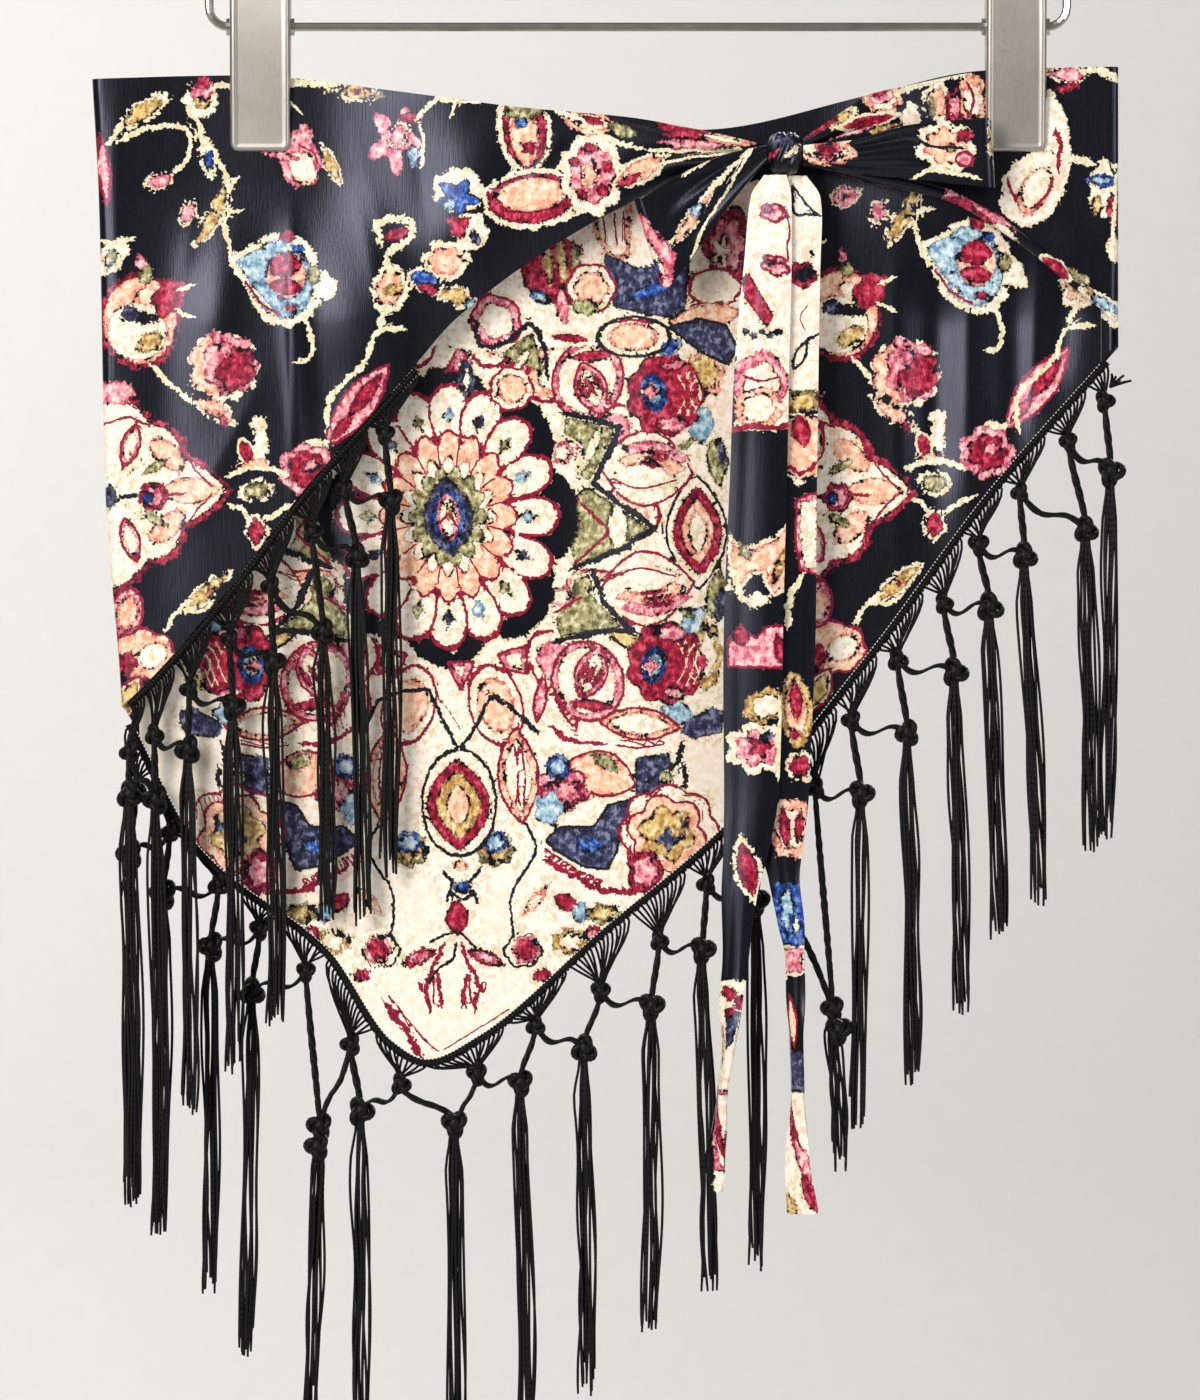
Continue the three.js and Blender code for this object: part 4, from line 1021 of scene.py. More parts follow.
def shine(tree, colour, **finish):
    """The shader and the output of a material."""
    shader = node(tree, "ShaderNodeBsdfPrincipled", None, Base_Color=colour, **finish)
    node(tree, "ShaderNodeOutputMaterial", None, Surface=shader.outputs[0])


def field(tree, name):
    """The three numbers that are stored in a mesh under a name."""
    read = node(tree, "ShaderNodeAttribute", {"attribute_name": name})
    return node(tree, "ShaderNodeSeparateXYZ", None, Vector=read.outputs["Vector"]).outputs


def stretched(tree, place, *scale, turn=0.0):
    """The place, scaled along each axis and turned about Y."""
    return node(tree, "ShaderNodeMapping", None, Vector=place, Rotation=(0, turn, 0), Scale=scale).outputs[0]


def noise(tree, place, scale, detail=2.0):
    return node(tree, "ShaderNodeTexNoise", None, Vector=place, Scale=scale, Detail=detail).outputs["Fac"]


def centred(tree, place, scale, reach):
    """Noise centred on zero, reach times as strong."""
    return sums(tree, "MULTIPLY_ADD", noise(tree, place, scale), reach, -reach / 2)


def relief(tree, height, strength, distance):
    return node(tree, "ShaderNodeBump", None, Strength=strength, Distance=distance, Height=height).outputs[0]


def between(tree, value, low, high):
    """A value from 0 to 1 carried to the range from low to high."""
    return node(tree, "ShaderNodeMapRange", None, Value=value, To_Min=low, To_Max=high).outputs["Result"]


def layer(tree, share, under, over):
    """Lays one colour over another by a share."""
    return node(tree, "ShaderNodeMix", {"data_type": "RGBA"}, _0=share, _6=under, _7=over).outputs[2]


def choose(tree, share, under, over):
    """The same for a plain number."""
    return node(tree, "ShaderNodeMix", {"data_type": "FLOAT"}, _0=share, _2=under, _3=over).outputs[0]


def sums(tree, kind, a, b=0.0, c=0.0):
    return node(tree, "ShaderNodeMath", {"operation": kind}, _0=a, _1=b, _2=c).outputs[0]


def soft_step(tree, value, start, end):
    return node(tree, "ShaderNodeMapRange", {"interpolation_type": "SMOOTHSTEP"}, Value=value,
                From_Min=start, From_Max=end).outputs["Result"]


# %% Printed satin
# each ink's body, its pale and its dark stitches, and its rim
TONES = {
    "ground": ("#07080c", "#0c0d13", "#050508", "#07080c"),
    "cream": ("#f7ebda", "#fdf5e9", "#efc9b2", "#d8cb9e"),
    "peach": ("#f5c9a6", "#fdebd6", "#e59c7c", "#bf5a55"),
    "pink": ("#ea9aa2", "#fadcd4", "#c24460", "#9c2848"),
    "crimson": ("#a61c37", "#d9566c", "#590d1f", "#520e1e"),
    "slate": ("#3a3d5c", "#8489a6", "#191a28", "#14131a"),
    "sky": ("#a4c6d4", "#e4ecea", "#5a86a6", "#4b5c7c"),
    "royal": ("#2852aa", "#7aa2dc", "#122462", "#111c48"),
    "olive": ("#a59e6c", "#e4dcb2", "#565030", "#3b381e"),
    "ochre": ("#dcbd72", "#f6e8bc", "#a87a42", "#7c5236"),
}
KHAKI = "#dacda3"
LINE_TONES = {"crimson": ("#a81f3c", "#6a1428"), "black": ("#0c0b0f", "#262226"),
              "cream": ("#fbf0da", "#d6ca98")}


def printed_satin():
    """Ground first, then each ink where its distance is below zero, then the drawn lines. What is
    kept of the ink on top is its four tones and how deep the point lies in it."""
    made, tree, place = new_material("polyester_satin_ink_printed")
    # the edges wander by a millimetre and are frayed by less, like the stitches of a carpet
    ragged = sums(tree, "ADD", centred(tree, place, 230.0, 11.0), centred(tree, place, 800.0, 9.0))
    drift = noise(tree, place, 48.0)
    # stitches of 1 by 2 mm, each with a shade of its own
    stitches = stretched(tree, place, 1050.0, 1050.0, 480.0, turn=0.5)
    cloud = node(tree, "ShaderNodeTexVoronoi", None, Vector=stitches, Scale=1.0)
    stitch = node(tree, "ShaderNodeSeparateColor", None, Color=cloud.outputs["Color"]).outputs[0]
    fields = [socket for name in FIELDS for socket in field(tree, name)]
    lines = fields[len(INKS):]
    top = [linear(code) for code in TONES["ground"]]
    deep = FAR
    for ink, distance in zip(INKS, fields):
        moved = sums(tree, "ADD", distance, ragged)
        inside = sums(tree, "LESS_THAN", moved, 0.35)
        tones = [linear(code) for code in TONES[ink]]
        if ink == "cream":
            warm = soft_step(tree, drift, 0.44, 0.58)
            tones[2] = layer(tree, warm, linear(KHAKI), tones[2])
        top = [layer(tree, inside, under, over) for under, over in zip(top, tones)]
        deep = choose(tree, inside, deep, sums(tree, "MULTIPLY", moved, -1.0))
    # rows of stitches follow each shape, so its tone comes and goes with the depth in it
    phase = sums(tree, "MULTIPLY_ADD", drift, 22.0, sums(tree, "MULTIPLY", deep, 0.62))
    speckle = sums(tree, "MULTIPLY_ADD", stitch, 0.16, noise(tree, place, 390.0, 3.0))
    tone = sums(tree, "MULTIPLY_ADD", sums(tree, "SINE", phase), 0.05, speckle)
    pale, dark = soft_step(tree, tone, 0.56, 0.42), soft_step(tree, tone, 0.60, 0.72)
    colour = layer(tree, sums(tree, "MULTIPLY", pale, 0.85), top[0], top[1])
    # wide fields are stitched more evenly than small forms
    open_field = sums(tree, "MULTIPLY_ADD", soft_step(tree, deep, 20.0, 5.0), 0.65, 0.25)
    colour = layer(tree, sums(tree, "MULTIPLY", dark, open_field), colour, top[2])
    worn = sums(tree, "MULTIPLY_ADD", stitch, 0.7, 0.35)
    rim = sums(tree, "MULTIPLY", soft_step(tree, deep, 2.6, 0.4), worn)
    colour = layer(tree, sums(tree, "MINIMUM", rim, 1.0), colour, top[3])
    shake = sums(tree, "MULTIPLY", ragged, 0.34)
    for ink, signed, near in zip(LINES, lines[::2], lines[1::2]):
        on_line = sums(tree, "COMPARE", sums(tree, "ADD", signed, shake), 0.0, 1.1)
        share = sums(tree, "MULTIPLY", on_line, sums(tree, "LESS_THAN", near, 2.8))
        body, faint = (linear(code) for code in LINE_TONES[ink])
        colour = layer(tree, share, colour, layer(tree, stitch, body, faint))
    # warp floats lie upright: streaks 0.5 mm apart across the cloth and long down it
    floats = noise(tree, stretched(tree, place, 2000.0, 2000.0, 90.0), 1.0)
    shine(tree, colour, IOR=1.5, Specular_IOR_Level=0.5, Specular_Tint=linear("#c6cae8"),
          Roughness=between(tree, floats, 0.22, 0.32), Normal=relief(tree, floats, 0.12, 0.0004))
    return made


SATIN = printed_satin()
print("satin nodes:", len(SATIN.node_tree.nodes))


# %% [markdown]
# ## From a grid to a dressed piece
# One function takes a grid of points, the squares of the cartoon under them and what is drawn
# there, and gives back a closed shell with its print stored in it.

# %% Cloth piece
PAPER_X, PAPER_Z = 638, -149.2


def squares(x, z):
    """Place in the cartoon of a point of the hanging cloth."""
    return x / SQUARE + PAPER_X, (PAPER_Z - z) / SQUARE


def store_print(piece, drawing, across, down, copies=1):
    """Paints the drawing at the points of a piece and keeps its distances in the mesh, by threes:
    one for each ink, then the signed and the plain one for each colour of line."""
    c = Cartoon(across, down)
    if isinstance(drawing, str):
        paint(c, drawing)
    else:
        drawing(c)
    kept = [c.ink[name] for name in INKS]
    for name in LINES:
        kept += [c.signed[name], c.near[name]]
    for k, name in enumerate(FIELDS):
        add_field(piece, name, np.tile(np.stack(kept[3 * k:3 * k + 3], -1), (copies, 1)))


def cloth_piece(node_name, grid, drawing, paper=None, thickness=CLOTH, short=""):
    """A closed shell from a grid, with the print of the drawing and the printed satin on it."""
    piece = new_piece("scarf_" + (short or node_name), *wall(grid, thickness))
    across, down = paper if paper else squares(grid[..., 0], grid[..., 2])
    store_print(piece, drawing, across, down, copies=2)
    return dress(piece, SATIN, node_name)


# %% [markdown]
# ## The back panel
# The back of the tube is the middle of the triangle. Its lower corner hangs free and carries the
# medallion. Rows are laid closer where the panel shows below the flaps.

# %% Back panel
def back_grid(columns=236, rows=202, hidden_share=0.4):
    """Columns between the side seams, rows from the waist to the hem, wider apart behind the flaps."""
    share = np.linspace(0, 1, columns)
    scale = 1 - share
    shift = (SEAM_INSET + SEAM) * scale + (CLOTH_RIGHT - SEAM_INSET - SEAM) * share
    top = column_heights(BACK_TOP, scale, shift, left_fold_x)
    hem = column_heights(BACK_EDGE, scale, shift, left_fold_x)
    x = scale * left_fold_x(-300.0) + shift
    flap = np.where(x < KNOT["x"], look_up(LEFT_FLAP_EDGE, x), look_up(RIGHT_FLAP_EDGE, x))
    hidden = np.clip(top - flap, 0, top - hem)
    shown = (top - hem) - hidden
    run = np.linspace(0, 1, rows)[None, :] * (hidden_share * hidden + shown)[:, None]
    behind = hidden_share * hidden[:, None]
    z = top[:, None] - np.where(run < behind, run / hidden_share, hidden[:, None] + run - behind)
    x = scale[:, None] * left_fold_x(z) + shift[:, None]
    return xyz(x, back_y(x, z), z)


back_panel = cloth_piece("back_panel", back_grid(), back_print)

# %% [markdown]
# ## The left front flap
# One long side of the triangle folds round the left edge and comes forward to the knot, narrowing
# and gathering in soft pleats. Its columns start at the back seam, go round the fold and run on to
# the knot.

# %% Left flap
FOLD_TURNS = np.array([1, 0.84, 0.67, 0.5, 0.33, 0.17, 0, -0.17, -0.33, -0.5, -0.67, -0.84, -1])


def fold_columns(sign, top, front_edge, fold_x, shares):
    """Columns round a side fold: a strip on the back, then a half circle of FOLD_RADIUS. sign is -1
    on the left."""
    blocks = []
    offsets = [SEAM_INSET, (SEAM_INSET + FOLD_RADIUS) / 2]
    offsets += [FOLD_RADIUS * (1 - math.cos(turn * math.pi / 2)) for turn in FOLD_TURNS]
    kinds = [None, None, *FOLD_TURNS]
    for offset, turn in zip(offsets, kinds):
        shift = -sign * offset
        edge = BACK_EDGE if turn is None or turn >= 0 else front_edge
        high = column_heights(top, 1.0, shift, fold_x)
        low = column_heights(edge, 1.0, shift, fold_x)
        z = mix(high, low, shares)
        x = fold_x(z) + shift
        if turn is None:
            y = back_y(x, z)
        else:
            y = math.sin(turn * math.pi / 2) * half_depth(fold_x(z) - sign * FOLD_RADIUS, z)
        blocks.append(xyz(x, y, z))
    return np.stack(blocks)


def front_columns(scale, shift, fold_x, top, edge, shares, root_x, pleats):
    """Upright columns of a flap, each from its upper to its lower edge."""
    high = column_heights(top, scale, shift, fold_x)[:, None]
    low = column_heights(edge, scale, shift, fold_x)[:, None]
    z = mix(high, low, shares[None, :])
    x = scale[:, None] * fold_x(z) + shift[:, None]
    return xyz(x, front_y(x, z, shares[None, :], root_x, pleats), z)


def left_grid(columns=186, rows=190):
    shares = np.linspace(0, 1, rows)
    share = np.linspace(0, 1, columns)[1:] ** 0.92
    fold = fold_columns(-1, LEFT_FLAP_TOP, LEFT_FLAP_EDGE, left_fold_x, shares)
    shift = FOLD_RADIUS * (1 - share) + LEFT_ROOT * share
    front = front_columns(1 - share, shift, left_fold_x, LEFT_FLAP_TOP, LEFT_FLAP_EDGE, shares,
                          LEFT_ROOT, 2.5)
    return np.concatenate([fold, front])


left_flap = cloth_piece("left_front_flap", left_grid(), left_print, short="left_flap")

# %% [markdown]
# ## The right front flap
# The other long side folds round the right edge and is gathered to the knot too. Its lower edge is
# rolled forward into a soft cord, as a scarf's edge does when it is pulled tight.

# %% Right flap
# the roll's radius beside the knot and further on, and its turn in radians
ROLL_THIN, ROLL_FULL, ROLL_TURN = 1.0, 2.1, 4.2


def rolled(grid, turns=16):
    """Carries each column on round a small circle: down, forward and up again, tighter at the fold."""
    last = grid[:, -1]
    down = unit(last - grid[:, -2])
    x = last[:, 0]
    radius = mix(ROLL_THIN, ROLL_FULL, smooth(70, 105, x)) * (1 - 0.5 * smooth(172, 188, x))
    turn = ROLL_TURN * (1 - 0.7 * smooth(176, 189, x))
    share = np.linspace(0, 1, turns + 1)[None, 1:]
    angle = turn[:, None] * share
    roll = last[:, None] + down[:, None] * (radius[:, None] * np.sin(angle))[..., None]
    roll[..., 1] -= radius[:, None] * (1 - np.cos(angle))
    return np.concatenate([grid, roll], 1)


def right_grid(columns=112, rows=84):
    shares = np.linspace(0, 1, rows)
    share = np.linspace(0, 1, columns)[:-1] ** 1.12
    shift = mix(RIGHT_ROOT, CLOTH_RIGHT - FOLD_RADIUS, share)
    front = front_columns(np.zeros_like(share), shift, right_fold_x, RIGHT_FLAP_TOP, RIGHT_FLAP_EDGE,
                          shares, RIGHT_ROOT, 3)
    fold = fold_columns(1, RIGHT_FLAP_TOP, RIGHT_FLAP_EDGE, right_fold_x, shares)
    return rolled(np.concatenate([front, fold[::-1]]))[::-1]


right_flap = cloth_piece("right_front_flap", right_grid(), RIGHT_FLAP, short="right_flap")

# %% [markdown]
# ## The bow: two loops, two tails and the knot
# The ends of the scarf are tied in a bow. Each loop is one band that runs out in front, turns and
# comes back behind. Each tail is a cupped strip that twists as it hangs and narrows to its tip.

# %% Loops
LEFT_LOOP = [(51.1, -208.6, 51.1, -214.8), (34, -212.6, 38.4, -229.6), (14, -222, 25, -248),
             (1.5, -230, 12.5, -265)]
RIGHT_LOOP = [(65.7, -208.6, 65.7, -214.8), (84, -207, 84, -219.4), (108, -200.6, 108, -222),
              (137, -198, 138.5, -225.5)]
LOOP = {"front_root": -17.8, "back_root": -14.6, "front_end": -21.0, "back_end": -15.2}


def loop_grid(stations, outward, along=64, bend=14, rows=34):
    """The band's middle: out along the front, round half a circle, and back behind, with pleats across."""
    at = np.linspace(0, 1, len(stations))
    share = np.concatenate([np.linspace(0, 1, along), np.ones(bend), np.linspace(1, 0, along)])
    swing = np.concatenate([np.full(along, -90.0), np.linspace(-80, 80, bend), np.full(along, 90.0)])
    swing = np.radians(swing)[:, None]
    share = share[:, None]
    down = np.linspace(0, 1, rows)[None, :]
    value = lambda k: look_up([(a, row[k]) for a, row in zip(at, stations)], share)
    front = mix(LOOP["front_root"], LOOP["front_end"], share)
    back = mix(LOOP["back_root"], LOOP["back_end"], share)
    middle, half = (front + back) / 2, (back - front) / 2
    swell = np.sin(np.pi * np.clip(share * 1.1 + 0.05, 0, 1))
    pleat = 0.8 * np.sin(3 * np.pi * down) * swell + 0.3 * np.sin(8 * np.pi * down + 1) * swell
    x = mix(value(0), value(2), down) + outward * half * np.cos(swing)
    grid = xyz(x, middle + half * np.sin(swing) + pleat, mix(value(1), value(3), down))
    return grid[::-1] if outward > 0 else grid


left_loop, right_loop = loop_grid(LEFT_LOOP, -1), loop_grid(RIGHT_LOOP, 1)
bow_loop_left = cloth_piece("bow_loop_left", left_loop, LEFT_LOOP_PRINT, thickness=1.0)
bow_loop_right = cloth_piece("bow_loop_right", right_loop, RIGHT_LOOP_PRINT, thickness=1.0)

# %% Tails
# (z, x, width, y, turn in degrees) of each section
FRONT_TAIL = [
    (-220.4, 54.5, 9, -17, 0), (-229, 52.8, 16, -17, 0), (-254, 51.6, 18.5, -17.5, 0),
    (-295, 49.2, 21.5, -17.5, 0), (-336, 48, 22.5, -17, 4), (-406, 45.8, 23.5, -16, 6),
    (-464, 45.2, 21.8, -15, 6), (-489, 43, 18, -15, 5), (-507, 40.3, 14, -15, 8),
    (-534, 38.8, 10.4, -15, 18), (-551, 37, 10, -15, 30), (-567, 36.2, 9.2, -15, 62),
    (-586, 33.6, 8.6, -15, 68), (-599, 32.6, 8.4, -15, 52), (-614, 30.6, 8, -15, 16),
    (-625, 32, 2.6, -15, 10),
]
BACK_TAIL = [
    (-220.4, 63.6, 7, -12, 0), (-229, 64, 17, -12.5, 0), (-254, 62, 21, -13, 0),
    (-336, 60.4, 21.6, -13, 0), (-406, 59.2, 22.6, -12, 0), (-464, 57.4, 21.4, -11, 0),
    (-489, 57.2, 16.4, -11, 0), (-501, 58.2, 12, -11, 0), (-518, 61, 10.4, -11, 10),
    (-531, 62.6, 9, -11, 40), (-545, 63, 8.6, -11, 34), (-564, 63.2, 8.6, -11, 58),
    (-586, 63.7, 8.8, -11, 60), (-611, 63.6, 9.6, -11, 20), (-634, 65.7, 12.4, -11, 0),
]


CUP = 1.1


def tail_grid(rows, creases, across=24, down=400):
    """Sections from top to tip: a line cupped forward, creased along, and turned about the vertical."""
    z = np.linspace(rows[0][0], rows[-1][0], down)[None, :]
    u = np.linspace(0, 1, across)[:, None]
    value = lambda k: look_up([(row[0], row[k]) for row in rows], z)
    offset = (u - 0.5) * value(2)
    gather = 1 - smooth(rows[0][0], rows[0][0] - 70, z)
    cup = CUP * (1 - (2 * u - 1) ** 2) * (1 - smooth(rows[0][0] - 20, rows[0][0], z))
    for place, depth, width in creases:
        cup = cup + depth * np.exp(-(((u - place) / width) ** 2)) * (0.4 + 0.6 * gather)
    turn = np.radians(value(4))
    x = value(1) + offset * np.cos(turn) - cup * np.sin(turn)
    y = value(3) - offset * np.sin(turn) - cup * np.cos(turn)
    paper = squares(value(1) + offset, z + 0 * u)
    return xyz(x, y, z), paper


front_grid, front_paper = tail_grid(FRONT_TAIL, [(0.28, -0.7, 0.12), (0.7, 0.6, 0.16)])
tie_front = cloth_piece("tie_tail_front", front_grid, FRONT_TAIL_PRINT, front_paper)
rear_grid, rear_paper = tail_grid(BACK_TAIL, [(0.35, 0.6, 0.15), (0.66, -0.7, 0.1)])
tie_back = cloth_piece("tie_tail_back", rear_grid, REAR_TAIL_PRINT, rear_paper)


# %% Knot
BAND, GROOVE_DEPTH, GROOVE_WIDTH = 0.42, 0.09, 0.1


def knot_grid(columns=96, rows=56):
    """A rounded block: each direction is carried out to the surface where the cubes of x, y and z sum
    to one. A band slants over it, with grooves beside it and fine gathers along it."""
    a = np.linspace(0, 2 * np.pi, columns)[:, None]
    b = np.linspace(0.04, np.pi - 0.04, rows)[None, :]
    way = xyz(np.sin(b) * np.cos(a), np.sin(b) * np.sin(a), np.cos(b))
    way /= (np.abs(way) ** 3).sum(-1, keepdims=True) ** (1 / 3)
    slant = way[..., 0] * 0.75 - way[..., 2] * 0.5
    groove = sum(GROOVE_DEPTH * np.exp(-(((slant - at) / GROOVE_WIDTH) ** 2)) for at in (BAND, -BAND))
    gathers = 0.022 * np.sin(26 * slant + 3 * way[..., 2])
    way *= (1 - groove + gathers)[..., None]
    return way * [KNOT["half_x"], KNOT["half_y"], KNOT["half_z"]] + [KNOT["x"], KNOT["y"], KNOT["z"]]


def knot_piece():
    """The closed surface of the knot, with a face at its top and its bottom."""
    grid = knot_grid()[:-1]
    vertices = grid.reshape(-1, 3)
    index = np.arange(len(vertices)).reshape(grid.shape[:2])
    around = cells(np.concatenate([index, index[:1]]))[:, OTHER_WAY]
    top, bottom = index[None, :, 0], index[None, ::-1, -1]
    piece = new_piece("scarf_tie_knot", vertices, [around, top, bottom], math.radians(80))
    store_print(piece, KNOT_PRINT, *squares(vertices[:, 0], vertices[:, 2]))
    return dress(piece, SATIN, "tie_knot")


knot_piece()

# %% [markdown]
# ## The fringe
# A real fringe of this kind is knotted from rayon cord. Threads loop round the hem and are gathered
# in fans into a row of knots, split, and tied again with their neighbours into a second row, from
# which the tassels hang. Curves with a bevel could make it, but thousands of curve points are slow,
# so all threads are rings of a few sides along paths, worked out together as one array.

# %% Threads
def tubes(paths, radius, sides=5):
    """Rings round each path: the first axis lies in the cloth's plane, the second one crosses it.
    paths is (strands, points, 3) in mm, and radius a number or (strands, points)."""
    strands, points = paths.shape[:2]
    radius = np.broadcast_to(radius, (strands, points))
    way = unit(np.gradient(paths, axis=1))
    upright = np.where(np.abs(way[..., 1:2]) > 0.9, [[[1.0, 0, 0]]], [[[0, 1.0, 0]]])
    across = unit(np.cross(upright, way))
    out = np.cross(way, across)
    angle = 2 * np.pi * np.arange(sides) / sides
    ring = across[:, :, None] * np.cos(angle)[:, None] + out[:, :, None] * np.sin(angle)[:, None]
    vertices = paths[:, :, None] + ring * radius[..., None, None]
    index = np.arange(strands * points * sides).reshape(strands, points, sides)
    turn = np.roll(index, -1, 2)
    quads = np.stack([index[:, :-1], turn[:, :-1], turn[:, 1:], index[:, 1:]], -1).reshape(-1, 4)
    ends = np.concatenate([index[:, 0, ::-1], index[:, -1]])
    steps = np.linalg.norm(np.diff(paths, axis=1), axis=-1)
    length = np.pad(np.cumsum(steps, 1), ((0, 0), (1, 0)))[..., None]
    strand = xyz(length, np.cos(angle), np.sin(angle))
    return vertices.reshape(-1, 3), quads, ends, strand.reshape(-1, 3)


def bundle(name, parts):
    """Joins sets of tubes into one piece of cord that stands for a fringe's solid."""
    points, quads, ends, strands = zip(*parts)
    starts = np.cumsum([0, *map(len, points)])
    faces = [np.concatenate([block + start for block, start in zip(quads, starts)])]
    for sides in dict.fromkeys(block.shape[1] for block in ends):
        same = [block + start for block, start in zip(ends, starts) if block.shape[1] == sides]
        faces.append(np.concatenate(same))
    piece = new_piece("cord_" + name, np.concatenate(points), faces, math.radians(75))
    add_field(piece, "strand", np.concatenate(strands))
    return dress(piece, RAYON, name)


# %% [markdown]
# The cord itself is black rayon, spun and plied: dark, with a fine slanting twist that catches the
# light. The twist is worked out from the length along each thread and the angle round it.

# %% Rayon cord
def rayon():
    made, tree, place = new_material("rayon_cord_plied_black")
    length, across, out = field(tree, "strand")
    lean = sums(tree, "MULTIPLY_ADD", across, sums(tree, "SINE", sums(tree, "MULTIPLY", length, 2.6)), out)
    tint = layer(tree, noise(tree, place, 900.0), linear("#010101"), linear("#050506"))
    shine(tree, tint, Roughness=0.5, Normal=relief(tree, lean, 0.5, 0.0003), IOR=1.5,
          Specular_IOR_Level=0.2, Sheen_Weight=0.02)
    return made


RAYON = rayon()

# %% Fringe tables and parts
# (upper knot x, z, lower knot x, z, tassel end x, z) in mm
LEFT_FLAP_FRINGE = [
    (-101, -323, -98.5, -350, -99, -501), (-117, -345, -112, -372, -109.5, -520),
    (-130, -362, -125.5, -402, -124, -518), (-146.5, -384, -145.5, -414, -144.5, -560),
    (-163, -405, -161.5, -432, -161, -579), (-179, -425, -179.5, -449, -179, -595),
    (-193, -443, -192.5, -469, -190.5, -645), (-203, -450, -203, -467, -201, -629),
]
LEFT_HEM_FRINGE = [
    (-201, -465, -203.5, -491, -203, -634), (-187.5, -482, -190, -507, -192, -645),
    (-168, -503, -171, -528, -171, -669), (-151.5, -521, -154.5, -546, -156.5, -693),
    (-133, -538, -127.5, -600, -131, -722), (-115, -567, -111, -594, -111, -735),
    (-95, -583, -73.5, -599, -73, -741),
]
RIGHT_HEM_FRINGE = [
    (187, -309.5, 189.5, -338, 188, -488), (172.5, -326, 179.5, -361, 181.5, -492),
    (153, -346, 155, -371.5, 161, -513.5), (136.5, -367, 141, -392, 145, -525.5),
    (122.5, -390.5, 127, -418, 130, -557), (104, -413, 108, -442.5, 110.5, -585),
    (85.5, -437.5, 89.5, -467, 88, -602.5), (71, -464.5, 78, -553, 81, -619),
    (50, -485, 47.5, -510, 47.5, -659), (27.5, -503, 26, -529.5, 29, -668),
    (8.5, -525.5, 5.5, -552, 5, -685), (-15, -546, -21.5, -569, -20, -708),
    (-41, -559.5, -47, -582.5, -44.5, -728),
]
APEX_X = -84.5
EXTRA_GOAL = np.array([[-73.5, -599.0]])
FRONT_FRINGE_Y, BACK_FRINGE_Y = -8.2, 4.0
STRIP_MIDDLE = GAP + 1.3
# size and cord radius of a knot, then the radii of a fan's thread, a link's and a tassel's
UPPER_KNOT, LOWER_KNOT, SECOND_KNOT = (3.3, 1.15), (4.3, 1.45), (4.6, 1.5)
THREAD, LINK_THREAD, TASSEL_CORD = 0.5, 0.7, 0.6
# the strip's core, the half sizes of its wraps and their thread
STRIP_CORE, STRIP_WRAP, STRIP_THREAD = 1.25, (1.45, 1.3), 0.42
# the longest thread of a fan, how squarely it leaves and arrives, and its end above the knot's middle
FAN_REACH, LEAVE, ARRIVE, KNOT_TOP = 46, 0.26, 0.12, 2.2
TASSEL_WIDTH, TASSEL_CORDS, BELOW_KNOT = 7.2, 11, 3.5
FRONT = np.array([0, -1.0, 0])


def vary(low, high, count):
    """A column of random numbers, one for each of count strands."""
    return rng.uniform(low, high, (count, 1))


def edge_points(edge, depth, start, end, step):
    """Points evenly spaced along an edge, in the middle of the bound strip, and the way out of the cloth."""
    x = np.linspace(start, end, 600)
    z = look_up(edge, x)
    run = np.concatenate([[0], np.cumsum(np.hypot(np.diff(x), np.diff(z)))])
    count = max(2, int(run[-1] / step))
    x = np.interp(np.linspace(0, run[-1], count), run, x)
    z = look_up(edge, x)
    slope = look_up(edge, x + 0.5) - look_up(edge, x - 0.5)
    long = np.hypot(1, slope)
    out = xyz(slope / long, 0, -1 / long)
    return xyz(x, depth(x, z), z) + out * STRIP_MIDDLE, out


def hem_parts(points, out):
    """The bound strip: a flat cord, wrapped by slanting stitches that take in the cloth's edge."""
    core = tubes(points[None], STRIP_CORE, 8)
    way = unit(np.gradient(points, axis=0))
    angle = np.linspace(0, 2 * np.pi, 9)[None, :, None]
    slant = np.linspace(-0.5, 0.5, 9)[None, :, None]
    wraps = (points[:, None] + out[:, None] * STRIP_WRAP[0] * np.cos(angle)
             + FRONT * STRIP_WRAP[1] * np.sin(angle) + way[:, None] * slant)
    return [core, tubes(wraps, STRIP_THREAD, 4)]


def fans(anchors, out, knots, y):
    """Threads from the strip to the nearest upper knot: each leaves the edge squarely and bends to it."""
    nearest = np.abs(anchors[:, None, 0] - knots[None, :, 0]).argmin(1)
    goal = xyz(knots[nearest, 0], y, knots[nearest, 1] + KNOT_TOP)
    goal[:, 0] += rng.uniform(-1.2, 1.2, len(goal))
    goal[:, 1] += rng.uniform(-1.0, 1.0, len(goal))
    reach = np.linalg.norm(goal - anchors, axis=1, keepdims=True)
    keep = reach[:, 0] < FAN_REACH
    anchors, out, goal, reach = anchors[keep], out[keep], goal[keep], reach[keep]
    t = np.linspace(0, 1, 9)[None, :, None]
    bend = anchors + out * reach * LEAVE + rng.uniform(-0.5, 0.5, anchors.shape)
    above = goal + np.array([0, 0, 1.0]) * reach * ARRIVE
    paths = ((1 - t) ** 3 * anchors[:, None] + 3 * (1 - t) ** 2 * t * bend[:, None]
             + 3 * (1 - t) * t**2 * above[:, None] + t**3 * goal[:, None])
    return [tubes(paths, THREAD, 4)]


